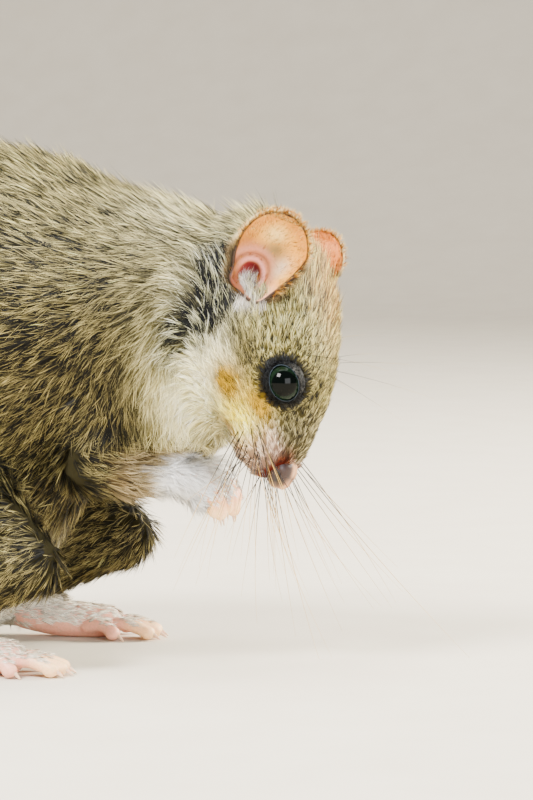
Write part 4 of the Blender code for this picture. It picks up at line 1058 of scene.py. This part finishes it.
def ear_folds(height, spread):
    """Rise of the folds: a sunken hollow, a thick arch round it, a crease and a second, softer arch."""
    inner = from_hollow(height, spread, *HOLLOW_EGG)
    outer = from_hollow(height, spread, *OUTER_FOLD_EGG)
    above = ease(height, 0.03, 0.14)
    arch = 0.55 * np.exp(-((inner - 1.16) / 0.18) ** 2) - 0.16 * np.exp(-((outer - 0.93) / 0.08) ** 2)
    second = 0.42 * np.exp(-((outer - 1.12) / 0.17) ** 2) * ease(spread, -1.0, -0.5) * ease(spread, 0.5, 0.0)
    return (arch + second) * above - HOLLOW_DEPTH * ease(inner, 1.05, 0.5)


def ear_place(m, height, spread):
    """A spoon: half width times an oval, sunk by depth * (spread^2 - 1), with folds and a turned-in rim.

    Spread runs from -1 at the back edge to 1 at the front edge, which draws in towards the root, while
    a lobe swells the back edge there.
    """
    root, length, axis, opening, across = ear_frame(m)
    oval = np.maximum(np.sqrt(np.clip(1 - (2 * height - 1) ** 2, 0, 1)), 0.07)
    half = EAR_WIDTH / 2 * oval * (0.86 + 0.14 * height)
    low = np.clip((0.62 - height) / 0.5, 0, 1)
    half = half * (1 - EAR_NOTCH * low * np.clip(spread, 0, 1))
    half = half * (1 + 0.20 * np.exp(-((height - 0.15) / 0.09) ** 2) * np.clip(-spread, 0, 1) ** 2)
    depth = EAR_DEPTH * np.sin(np.pi * np.clip(height + 0.08, 0, 1)) ** 0.7 * (1.15 - 0.55 * height)
    sunk = depth * (spread**2 - 1) + ear_folds(height, spread) * np.clip(depth / 2, 0, 1)
    lobe = 1.0 * np.exp(-((height - 0.15) / 0.10) ** 2 - ((spread + 0.92) / 0.16) ** 2)
    rim = 0.25 * ease(np.abs(spread), 0.90, 1.0) * ease(height, 0.05, 0.3)
    wave = 0.18 * np.sin(7 * height + 2.5 * spread) * np.abs(spread) * oval
    return (root + (height * length)[..., None] * axis - (m * half * spread)[..., None] * across
            + (sunk + lobe + rim + wave)[..., None] * opening)


def ear_cup(m, rows=96, columns=96):
    """The spoon as a grid, its lines drawn together towards the rim, with each point's two shares."""
    height = ((1 - np.cos(np.linspace(0.12, np.pi, rows))) / 2)[:, None]
    spread = np.sin(np.linspace(-np.pi / 2, np.pi / 2, columns))[None, :]
    height, spread = height + 0 * spread, spread + 0 * height
    points = ear_place(m, height, spread).reshape(-1, 3)
    return points, grid_faces(rows, columns), height.ravel(), spread.ravel()


def turning_hair(share, first, second):
    """Three colours that turn from the first three to the second three as the share rises to 1."""
    return [plain(*a) * (1 - share) + plain(*b) * share for a, b in zip(first, second)]


def soft_patch(height, spread, middle, sizes):
    """1 in the middle of a soft egg on the ear, fading as exp(-r^2)."""
    return np.exp(-((height - middle[0]) / sizes[0]) ** 2 - ((spread - middle[1]) / sizes[1]) ** 2)


def ear_colours(height, spread):
    """Golden tan, pale in the middle, with the colour of each form laid over it by a soft share.

    The pale middle is a painted highlight of light through the ear. The rim is brown with a thin dark line,
    painted shade gives a dusky patch near the back edge and a grey one on the front, the folds are pink with
    creases darkened by painted shade, the hollow is a dark rose, darker in its depth by painted shade, and
    the lobe behind it brown.
    """
    colour = np.tile(plain(214, 160, 92), (len(height), 1))

    def lay(share, red, green, blue):
        """The colour moves towards the new one by the share."""
        share = np.clip(share, 0, 1)[:, None]
        colour[:] = colour * (1 - share) + plain(red, green, blue) * share

    inner = from_hollow(height, spread, *HOLLOW_EGG)
    outer = from_hollow(height, spread, *OUTER_FOLD_EGG)
    towards_rim = ease(np.hypot(spread, 2.2 * (height - 0.55)), 0.62, 0.95)
    front_fade = ease(height, 0.08, 0.2) * ease(spread, 0.5, -0.1)
    rim = np.maximum(ease(np.abs(spread), 0.95, 0.985), ease(height, 0.972, 0.988))
    # painted highlight: the pale middle where light comes through the ear
    lay(0.85 * soft_patch(height, spread, (0.73, -0.05), (0.12, 0.34)), 250, 220, 158)
    lay(0.45 * towards_rim * ease(height, 0.3, 0.5), 168, 104, 50)
    # painted shade: a dusky patch near the back edge of the upper ear
    lay(0.75 * soft_patch(height, spread, (0.58, -0.75), (0.14, 0.32)), 142, 92, 54)
    lay(0.8 * ease(outer, 1.7, 1.15), 164, 116, 96)
    lay(0.9 * soft_patch(height, spread, (0.40, 0.50), (0.13, 0.26)), 206, 188, 166)
    # painted shade: a grey patch across the front
    lay(0.9 * soft_patch(height, spread, (0.55, 0.12), (0.10, 0.30)), 116, 100, 68)
    lay(0.55 * np.exp(-((outer - 1.12) / 0.12) ** 2) * front_fade, 188, 138, 126)
    # painted shade in the crease between the arches
    lay(0.7 * np.exp(-((outer - 0.93) / 0.08) ** 2) * front_fade, 126, 84, 76)
    lay(0.8 * np.exp(-((inner - 1.14) / 0.13) ** 2) * ease(spread, -0.98, -0.66), 214, 158, 156)
    lay(ease(inner, 1.06, 0.86), 124, 58, 60)
    # painted shade deep in the hollow
    lay(0.85 * ease(inner, 0.9, 0.4) * ease(spread, -0.75, -0.2), 80, 36, 40)
    lay(ease(height, 0.30, 0.12) * ease(spread, 0.40, 0.75), 222, 168, 140)
    lay(soft_patch(height, spread, (0.16, -1.0), (0.15, 0.30)), 98, 50, 22)
    lay(rim, 44, 28, 16)
    return colour


EAR_WALL = 0.42
FRINGE_TUFTS = 640
HOLLOW_TUFTS = 52
WHITE_TUFTS = 96

ear_finish = skin_material("ear_skin", roughness=0.55, warmth=0.18)
for m, tag in ((1, "left"), (-1, "right")):
    points, faces, height, spread = ear_cup(m)
    ear = new_piece("dressed_ear_" + tag, points, faces)
    wall = ear.modifiers.new("wall", "SOLIDIFY")
    wall.thickness = EAR_WALL * MM
    wall.offset = 0
    graph = bpy.context.evaluated_depsgraph_get()
    thick = bpy.data.meshes.new_from_object(ear.evaluated_get(graph), depsgraph=graph)
    ear.modifiers.clear()
    ear.data = thick
    turn_outwards(ear)
    ear.data.shade_smooth()
    root, length, axis, opening, across = ear_frame(m)
    colours = np.tile(ear_colours(height, spread), (2, 1))
    # the back of the cup turns orange: its own colour deepened by a painted glow of light coming through the
    # thin ear
    behind = 0.85 * ease(-point_normals(ear.data) @ opening, 0.1, 0.4)[:, None]
    dress(ear, colours * (1 - behind) + plain(176, 104, 22) * behind, ear_finish)
    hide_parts("ear_" + tag)
    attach(ear, "root")
    unwrap_axis = unit(axis + 0.3 * opening)

    # down on both faces, longer behind near the root, none in the hollow
    def down_on_ear(points):
        """Down to a square mm, before the bare hollow is left out."""
        return 13.0 + 0 * points[:, 0]

    at, out_of = scatter(ear, down_on_ear, seed=31 + m)
    rise = ((at - root) @ axis) / length
    aside = ((at - root) @ across) * -m / (EAR_WIDTH / 2)
    behind = (out_of @ opening) < -0.15
    grown = behind | (from_hollow(rise, aside, *OUTER_FOLD_EGG) > 1.15)
    at, out_of, rise, aside, behind = at[grown], out_of[grown], rise[grown], aside[grown], behind[grown]
    back = behind[:, None]
    low = ease(rise, 0.6, 0.1)[:, None]
    lobe = soft_patch(rise, aside, (0.15, -0.95), (0.13, 0.30))[:, None]
    dark_edge = (ease(np.abs(aside), 0.72, 0.88) * ease(rise, 0.62, 0.48))[:, None] * (1 - lobe)
    hair = []
    for gold, rust, drab, dusk in (((84, 48, 18), (80, 40, 6), (80, 50, 22), (24, 20, 14)),
                                   ((190, 134, 68), (146, 84, 16), (146, 100, 50), (58, 48, 34)),
                                   ((252, 224, 166), (208, 142, 54), (212, 166, 102), (132, 114, 84))):
        behind_hair = plain(*drab) * low + plain(*rust) * (1 - low)
        one = np.where(back, behind_hair, plain(*gold)) * (1 - lobe) + plain(*drab) * 0.6 * lobe
        hair.append(one * (1 - dark_edge) + plain(*dusk) * dark_edge)
    out_way = axis * (rise - 0.2)[:, None] * 1.6 - across * (m * (aside + 0.2))[:, None]
    lengths = np.where(behind, 0.8 + 1.6 * ease(rise, 0.5, 0.0), 1.3) + 0.5 * lobe[:, 0]
    tuft_mesh("ear_down_" + tag, at, out_of, np.where(back, axis, out_way), lengths, 0.02,
              (*hair, np.full(len(at), 0.40)), hairs=4, width=0.05, spread=0.22,
              unwrap=round_unwrap(at, root + axis * length / 2, unwrap_axis), seed=41 + m)

    # a fringe on the rim: pale and short round the top, dark and longer on both edges near the root
    draw = np.random.default_rng(45 + m)
    turn = draw.uniform(-1.0, 1.0, FRINGE_TUFTS)
    height = 0.5 + 0.5 * np.cos(np.pi * turn * 0.93)
    at = ear_place(m, height, np.sign(turn) * 0.995)
    middle_line = root + axis * length * 0.45
    out_way = unit((at - middle_line) - ((at - middle_line) @ opening)[:, None] * opening)
    low = ease(height, 0.66, 0.40)[:, None]
    fringe = turning_hair(low, ((120, 92, 60), (214, 188, 142), (248, 234, 200)),
                          ((20, 18, 14), (50, 42, 32), (116, 100, 76)))
    tuft_mesh("ear_fringe_" + tag, at, np.tile(opening, (FRINGE_TUFTS, 1)),
              out_way * (1 - 0.3 * low) + axis * (0.25 + 0.5 * low), 0.55 + 1.3 * low[:, 0], 0.05,
              (*fringe, np.full(FRINGE_TUFTS, 0.05)), hairs=5, width=0.05, spread=0.20,
              unwrap=round_unwrap(at, middle_line, unwrap_axis), seed=47 + m)

    # white hair in the hollow and below the notch, which hides where the cup meets the head
    draw = np.random.default_rng(51 + m)
    below = np.arange(WHITE_TUFTS) >= HOLLOW_TUFTS
    spread = np.where(below, draw.uniform(-1.0, 1.0, WHITE_TUFTS), draw.uniform(-0.80, -0.20, WHITE_TUFTS))
    height = np.where(below, draw.uniform(0.004, 0.05, WHITE_TUFTS), draw.uniform(0.05, 0.15, WHITE_TUFTS))
    at = ear_place(m, height, spread) + np.where(below, 0.35, 0.0)[:, None] * opening
    aside = m * (np.where(below, 0.25, 0.9) * spread + 0.35 * draw.standard_normal(WHITE_TUFTS))
    way = np.where(below[:, None], -1.0, 1.0) * axis - across * aside[:, None]
    white = even_hair(WHITE_TUFTS, (168, 158, 152), (228, 222, 216), (252, 250, 247), 0.12)
    tuft_mesh("ear_tuft_" + tag, at, np.tile(opening, (WHITE_TUFTS, 1)), way,
              np.where(below, 2.1, 1.7) * draw.uniform(0.5, 1.4, WHITE_TUFTS), np.where(below, 0.22, 0.35),
              white, hairs=8, width=0.045, spread=0.6, unwrap=round_unwrap(at, root + axis * 2, opening),
              seed=61 + m)


# The nose. A small bare pad of moist skin, dark red-brown, with a painted glow of backlight on its paler
# front and top and painted shade in its nostrils. It has a comma of a nostril in each side and a groove down
# the middle.

def nose_form():
    """A bent tube on the snout, pressed in by deep * exp(-(d / size)^2) at the nostrils and groove.

    Returns its points, its faces and how deep each point lies in a nostril.
    """
    stations = [(*head_point(34.8, -1.6, 0), 2.0), (*head_point(36.8, -2.1, 0), 2.45),
                (*head_point(37.7, -2.7, 0), 2.25)]
    points, faces = bent_tube(stations, around=96, flat=(1.34, 0.90), up=tuple(HEAD_AXES[1]), steps=64)
    h = in_head(points)
    middle = np.array([36.7, -2.3, 0])
    inward = unit(middle - h)
    dent = np.zeros(len(h))
    for m in (1, -1):
        for along, above, out, size, deep in ((39.3, -3.1, 1.5, 0.55, 1.1), (38.7, -2.9, 2.2, 0.50, 1.0),
                                              (37.9, -2.4, 2.8, 0.45, 0.7)):
            gap = np.linalg.norm(h - (along, above, out * m), axis=1)
            dent = np.maximum(dent, deep * np.exp(-(gap / size) ** 2))
    groove = 0.28 * np.exp(-(h[:, 2] / 0.22) ** 2) * ease(h[:, 0], 36.4, 37.6)
    return points + ((dent + groove)[:, None] * inward) @ HEAD_AXES, faces, dent


points, faces, dent = nose_form()
nose = closed_piece("dressed_nose", points, faces)
h = in_head(points)
# painted shade darkens each nostril by its depth, and a painted glow of backlight pales the front and top
# near the middle
dark = np.clip(dent / 0.5, 0, 1)[:, None]
glow_front_or_top = np.maximum(ease(h[:, 0], 38.6, 39.6), ease(h[:, 1], -1.4, -0.4))
pale = (ease(np.abs(h[:, 2]), 1.7, 0.7) * glow_front_or_top)[:, None]
colours = plain(36, 11, 5) * (1 - pale) + plain(182, 142, 114) * pale
nose_finish = skin_material("nose_skin", roughness=0.42, warmth=0.12)
dress(nose, colours * (1 - dark) + plain(14, 5, 5) * dark, nose_finish)
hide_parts("nose")
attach(nose, "root")


# Down on the snout's end. Very short hair lies flat over the rear of the nose and thins out towards its
# moist pad, so the coat fades into bare skin.

def down_on_nose(points):
    """Down to a square mm: full on the rear of the nose, none on the pad."""
    return 13.0 * ease(in_head(points)[:, 0], 38.2, 36.6)


at, out_of = scatter(nose, down_on_nose, seed=65)
tuft_mesh("nose_down", at, out_of, at - head_point(*NOSE_FRONT), 0.8, -0.12, coat_colours(at), hairs=5,
          width=0.05, spread=0.22, unwrap=round_unwrap(at, head_point(36.5, -2.5, 0), HEAD_AXES[0]), seed=66)


# The whiskers. Long stiff hairs in rows on the swollen lip, black at the root and cream beyond. They
# bend under their own weight, and a few finer ones stand over each eye.

def bristles(name, roots, ways, lengths, radii, droop, colour_turn=0.28):
    """Tapered tubes: root + length * (t * way + t^2 * droop), with radius * (1 - 0.85 * t).

    They turn from black to cream over a third of their length, from the share colour_turn on.
    """
    t = np.linspace(0, 1, 15)[None, :, None]
    ways = unit(ways)
    line = roots[:, None] + lengths[:, None, None] * (t * ways[:, None] + t**2 * droop[:, None])
    line[..., 2] = np.maximum(line[..., 2], 0.6)
    across = unit(np.cross(ways, (0.1, 0.2, 1.0)))[:, None, None]
    lift = np.cross(across[:, 0, 0], ways)[:, None, None]
    a = np.linspace(0, 2 * np.pi, 5, endpoint=False)[None, None, :, None]
    radius = (radii[:, None, None] * (1 - 0.85 * t))[..., None]
    rings = line[:, :, None] + radius * (np.cos(a) * across + np.sin(a) * lift)
    forms = [closed_grid(rings[k], line[k, 0], line[k, -1]) for k in range(len(roots))]
    made = closed_piece(name, *chained(forms))
    along = np.concatenate([np.append(np.repeat(t[0, :, 0], 5), [0, 1])] * len(roots))
    pale = ease(along, colour_turn, colour_turn + 0.35)[:, None]
    dress(made, plain(26, 22, 22) * (1 - pale) + plain(190, 158, 108) * pale, whisker_finish)
    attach(made, "root")


whisker_finish = hair_material("whisker", roughness=0.3)
for m, tag in ((1, "left"), (-1, "right")):
    draw = np.random.default_rng(71 + m)
    row, place = (k.ravel() for k in np.meshgrid(np.arange(4), np.arange(6), indexing="ij"))
    row, place = row * 0.72, place * 0.64
    roots = head_point(30.0 + 1.35 * place, -2.6 - 1.3 * row, (6.3 - 0.42 * place) * m)
    fan = np.radians(24 - 25 * row - 8 * place + 7 * draw.standard_normal(len(row)))
    out = np.clip(0.85 - 0.10 * place + 0.36 * draw.standard_normal(len(row)), 0.25, 1.35) * m
    ways = np.stack([np.cos(fan), np.sin(fan), out], axis=-1) @ HEAD_AXES
    lengths = (38 - 5.4 * place - 2.0 * row) * np.exp(0.12 * draw.standard_normal(len(row)))
    lengths = lengths * (1.12 - 0.20 * np.abs(out))
    droop = np.array([0.10, 0, -0.05]) + 0.05 * draw.standard_normal((len(row), 3))
    bristles("whiskers_" + tag, roots, ways, lengths, np.full(len(row), 0.09) - 0.006 * place, droop)

    brow = np.array([(21.5, 8.0, 7.2), (22.6, 8.0, 7.0), (23.4, 7.6, 7.2), (20.4, 7.2, 8.2)])
    roots = head_point(brow[:, 0], brow[:, 1], brow[:, 2] * m)
    ways = np.array([(0.10, 0.85, 0.55), (0.42, 0.85, 0.45), (0.75, 0.72, 0.50), (-0.1, 0.75, 0.7)])
    bristles("brow_bristles_" + tag, roots, ways * (1, 1, m) @ HEAD_AXES, np.array([13.0, 16.0, 12.0, 9.0]),
             np.full(4, 0.035), np.tile([0.06, 0, -0.10], (4, 1)), colour_turn=0.5)


# The forepaws. Pink hands with four slim fingers held together under the chin, pads on the palm and
# small pale claws.

def flesh_colours(points, base, tips):
    """Base colour, flushed by slow drift, turning to the tips' colour as the share rises."""
    flush = 0.90 + 0.10 * (0.5 + 0.5 * drift(points, 2.5, 3))[:, None]
    return base * flush * (1 - tips[:, None]) + plain(248, 206, 168) * tips[:, None]


def digit_forms(root, middle, tip, radii, pad):
    """A bent finger or toe, and the pad at its end: two rows of (x, y, z, radius), from the tip on."""
    digit = [(*place, radius) for place, radius in zip((root, middle, tip), radii)]
    pad_line = [(*(tip + row[:3]), row[3]) for row in pad]
    return [bent_tube(digit, around=16, steps=16), bent_tube(pad_line, around=14, steps=6)]


def claw_forms(middles, tips, length, radius):
    """Hooked cones: a line that goes on from the digit and bends down by 0.55 mm, narrowing to a point."""
    forms = []
    for middle, tip in zip(middles, tips):
        way = unit(tip - middle)
        t = np.linspace(0, 1, 9)[:, None]
        line = tip + way * (0.1 + length * t) + np.array([0, 0, -0.55]) * t**1.8
        across = unit(np.cross(way, (0, 0, 1.0)))
        lift = np.cross(across, way)
        a = np.linspace(0, 2 * np.pi, 12, endpoint=False)[None, :, None]
        thick = radius * (1 - 0.85 * t[:-1, None] ** 1.3)
        rings = line[:-1, None] + thick * (np.cos(a) * across * 0.8 + np.sin(a) * lift)
        forms.append(closed_grid(rings, line[0] - way * 0.5, line[-1]))
    return forms


flesh_finish = skin_material("paw_flesh", roughness=0.45, warmth=0.35)
claw_finish = skin_material("claw_horn", roughness=0.3, warmth=0.2)
for m, tag in ((1, "left"), (-1, "right")):
    wrist, palm = (np.array(row[:3]) for row in foreleg_stations(m)[1][2:])
    forms = [bent_tube([(*wrist, 2.3), (*palm, 2.9), (43.6, 4.2 * m, 27.7, 2.5)], flat=(1, 0.86))]
    middles, tips = [], []
    for s in (-1.5, -0.5, 0.5, 1.5):
        root = np.array([43.3 + 0.25 * s, (4.2 + 1.35 * s) * m, 27.6 - 0.15 * abs(s)])
        tip = np.array([46.0 - 0.5 * abs(s), (3.4 + 1.25 * s) * m, 23.6 + 0.5 * abs(s)])
        middles.append((root + tip) / 2 + (0.9, 0, 0.2))
        tips.append(tip)
        forms += digit_forms(root, middles[-1], tip, (1.15, 0.98, 0.92),
                             ((-0.2, 0, 0.2, 0.98), (0, 0, -0.2, 0.85)))
    for pad_x, pad_y, size in ((41.6, 3.0, 1.0), (41.9, 5.9, 1.0), (43.2, 4.4, 0.9)):
        palm_pad = [(pad_x, pad_y * m, 26.9, size), (pad_x + 0.3, pad_y * m, 26.5, size * 0.9)]
        forms.append(bent_tube(palm_pad, around=14, steps=6))
    paw = run_together("dressed_forepaw_" + tag, forms, voxel=0.2, smoothing=3)
    at = places(paw.data)
    dress(paw, flesh_colours(at, plain(232, 178, 148), ease(at[:, 2], 26.5, 23.5)), flesh_finish)
    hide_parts("forepaw_" + tag)
    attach(paw, "root")
    nails = closed_piece("foreclaws_" + tag, *chained(claw_forms(middles, tips, 1.5, 0.34)))
    dress(nails, plain(214, 186, 164), claw_finish)
    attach(nails, "root")

    def back_of_hand(points):
        """White down to a square mm: on the wrist and back of the hand, none on the fingers' ends."""
        return 7.0 * ease(points[:, 2], 24.8, 26.4) * ease(points[:, 0], 46.2, 44.8)

    at, out_of = scatter(paw, back_of_hand, seed=81 + m)
    tuft_mesh("hand_down_" + tag, at, out_of, np.array([0.8, -0.15 * m, -0.55]),
              1.0 + 2.2 * ease(at[:, 0], 45, 40.5), 0.34,
              even_hair(len(at), (228, 222, 216), (249, 247, 244), (255, 254, 253), 0.0), hairs=6,
              width=0.12, spread=0.3, unwrap=round_unwrap(at, palm, (1, 0, 0)), seed=91 + m)


# The hind feet. Long bare soles with five toes, pads and small claws, flat on the floor, and short pale
# hair on top.

SOLE_HEIGHT = 0.02
CLAW_HEIGHT = 0.05

for m, tag in ((1, "left"), (-1, "right")):
    forms = [bent_tube([(4.0, 20.5 * m, 3.6, 2.6), (10.0, 21.4 * m, 3.0, 3.1), (17.5, 22.6 * m, 2.6, 2.8)],
                       flat=(1.18, 0.94))]
    middles, tips = [], []
    for k, reach in enumerate((5.4, 8.2, 8.6, 8.0, 4.6)):
        s = (k - 2) * m
        back = 2.4 if k in (0, 4) else 0.0
        root = np.array([17.6 - back, 22.6 * m + 1.55 * s, 2.2])
        tip = np.array([17.6 - back + reach, 22.6 * m + 2.35 * s, 1.35])
        middles.append((root + tip) / 2 + (0, 0, 0.7))
        tips.append(tip)
        forms += digit_forms(root, middles[-1], tip, (1.3, 1.1, 1.05),
                             ((-0.5, 0, -0.15, 1.1), (0, 0, -0.15, 1.0)))
    foot = run_together("dressed_hindfoot_" + tag, forms, voxel=0.3, smoothing=3)
    at = places(foot.data)
    at[:, 2] = np.maximum(at[:, 2], SOLE_HEIGHT)
    move_points(foot.data, at)
    dress(foot, flesh_colours(at, plain(226, 176, 158), ease(at[:, 0], 20, 25)), flesh_finish)
    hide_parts("hindfoot_" + tag)
    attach(foot, "root")
    points, faces = chained(claw_forms(middles, tips, 2.0, 0.5))
    points[:, 2] = np.maximum(points[:, 2], CLAW_HEIGHT)
    nails = closed_piece("hindclaws_" + tag, points, faces)
    dress(nails, plain(206, 180, 158), claw_finish)
    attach(nails, "root")

    def top_of_foot(points):
        """Short pale hair to a square mm, on the upper side of foot and toes."""
        return 4.0 * ease(points[:, 2], 2.2, 3.4) * ease(points[:, 0], 25, 22)

    at, out_of = scatter(foot, top_of_foot, seed=111 + m)
    tuft_mesh("foot_down_" + tag, at, out_of, TO_THE_TOES, 1.3 + 0.9 * ease(at[:, 0], 18, 8), 0.16,
              even_hair(len(at), (160, 148, 134), (208, 198, 182), (232, 226, 214), 0.05), hairs=6,
              width=0.13, spread=0.32, unwrap=round_unwrap(at, (14, 22 * m, 2), (0, 0, 1)), seed=121 + m)


# The brush. Long soft grey hair that grows back and out to both sides of the tail, paler below, and
# closes in a full round tip.

def tail_share(points):
    """Distance along the tail: straight part by x, bend by the turn about its centre."""
    centre = np.array([TAIL_ROOT - TAIL_STRAIGHT, TAIL_BEND_RADIUS])
    turn = np.arctan2(centre[0] - points[:, 0], centre[1] - points[:, 1])
    bend = TAIL_STRAIGHT + TAIL_BEND_RADIUS * np.clip(turn, 0, None)
    return np.where(points[:, 0] > centre[0], TAIL_ROOT - points[:, 0], bend)


def brush_density(points):
    """Tufts to a square mm over the whole tail, none under the rump."""
    return 1.15 * (points[:, 0] < -19)


at, out_of = scatter(tail_skin, brush_density, seed=131)
s = np.clip(tail_share(at), 0, TAIL_LENGTH)
x, y, heading = tail_place(s)
sideways = np.cross(heading, (0, 0, 1.0))
offset = at - np.stack([x, y, np.full(len(x), 4.0)], axis=-1)
aside = np.clip(np.sum(offset * sideways, axis=1) / 5.0, -1, 1)[:, None]
way = heading + 0.42 * aside * sideways + 0.10 * np.clip(offset[:, [2]] / 4, 0, 1) * np.array([0, 0, 1.0])
full = 0.42 + 0.58 * ease(s / TAIL_LENGTH, 0, 0.30)
length = (13.5 + 3.5 * np.abs(aside[:, 0])) * full * (1 + 0.10 * ease(s, 90, 112))
lift = np.radians(13 + 10 * np.clip(offset[:, 2] / 4, 0, 1)) + 0 * s
lower = ease(offset[:, 2], -0.5, -3.0)[:, None]
brush_colours = turning_hair(lower, ((62, 57, 46), (126, 119, 98), (206, 196, 166)),
                             ((132, 124, 104), (206, 198, 174), (240, 234, 212)))
brush_colours.append(0.30 * (1 - lower[:, 0]))
across_turn = np.arctan2(offset[:, 2], np.sum(offset * sideways, axis=1))
for part in range(2):
    chosen = (s >= TAIL_LENGTH / 2) == bool(part)
    unwrap = np.stack([0.01 + 0.98 * (across_turn[chosen] + np.pi) / (2 * np.pi),
                       0.01 + 0.98 * (s[chosen] - s[chosen].min()) / np.ptp(s[chosen])], axis=-1)
    tuft_mesh(f"coat_tail_{part + 1}", at[chosen], out_of[chosen], way[chosen], length[chosen], lift[chosen],
              tuple(c[chosen] for c in brush_colours), hairs=7, width=0.26, spread=0.8,
              sections=(0, 0.3, 0.68, 1), unwrap=unwrap, seed=141 + part)


# The floor and backdrop. One pale matt sheet of paper lies flat and curves up behind. Four soft panels
# and a dim white surround light the animal.

def sweep():
    """Floor back to the bend, a quarter circle up, then a wall, all the same across."""
    a = np.linspace(0, np.pi / 2, 24)
    y = np.concatenate([[-2.5], 1.1 + 0.5 * np.sin(a), [1.6]])
    z = np.concatenate([[0.0], 0.5 - 0.5 * np.cos(a), [2.6]])
    points = np.stack([np.stack([np.full(len(y), x), y, z], axis=-1) for x in (-3.0, 3.0)])
    count = len(y)
    faces = [(k, count + k, count + k + 1, k + 1) for k in range(count - 1)]
    return points.reshape(-1, 3), faces


points, faces = sweep()
mesh = bpy.data.meshes.new("floor")
mesh.from_pydata(points.tolist(), [], faces)
floor = bpy.data.objects.new("floor", mesh)
bpy.context.scene.collection.objects.link(floor)
floor.data.shade_smooth()
paper = bpy.data.materials.new("paper")
paper.use_nodes = True
tree = paper.node_tree
shader = tree.nodes["Principled BSDF"]
place = tree.nodes.new("ShaderNodeTexCoord")
fibre = tree.nodes.new("ShaderNodeTexNoise")
fibre.inputs["Scale"].default_value = 60
tone = tree.nodes.new("ShaderNodeValToRGB")
tone.color_ramp.elements[0].color = (0.62, 0.56, 0.46, 1)
tone.color_ramp.elements[1].color = (0.69, 0.64, 0.54, 1)
tree.links.new(place.outputs["Object"], fibre.inputs["Vector"])
tree.links.new(fibre.outputs["Fac"], tone.inputs["Fac"])
tree.links.new(tone.outputs["Color"], shader.inputs["Base Color"])
shader.inputs["Roughness"].default_value = 0.9
floor.data.materials.append(paper)


def soft_light(name, place, aim, size, power, colour):
    """A square panel of light at a place in metres, turned to the aim."""
    lamp = bpy.data.lights.new(name, "AREA")
    lamp.size = size
    lamp.energy = power
    lamp.color = colour
    made = bpy.data.objects.new(name, lamp)
    bpy.context.scene.collection.objects.link(made)
    made.location = place
    way = Vector(aim) - Vector(place)
    made.rotation_mode = "QUATERNION"
    made.rotation_quaternion = way.to_track_quat("-Z", "Y")


soft_light("key", (-0.22, -0.62, 0.72), (0.05, 0, 0.05), 0.32, 28.0, (1.0, 0.98, 0.94))
soft_light("rim", (0.55, 0.45, 0.40), (0.06, 0, 0.06), 0.35, 24.5, (1.0, 0.92, 0.76))
soft_light("top", (0.0, 0.10, 0.90), (0.03, 0, 0.04), 0.60, 11.2, (1.0, 1.0, 1.0))
soft_light("fill", (0.60, -0.60, 0.20), (0.05, 0, 0.04), 0.50, 9.0, (0.97, 0.98, 1.0))
world = bpy.data.worlds.new("studio")
world.use_nodes = True
world.node_tree.nodes["Background"].inputs["Color"].default_value = (1.0, 0.97, 0.92, 1)
world.node_tree.nodes["Background"].inputs["Strength"].default_value = 0.69
bpy.context.scene.world = world
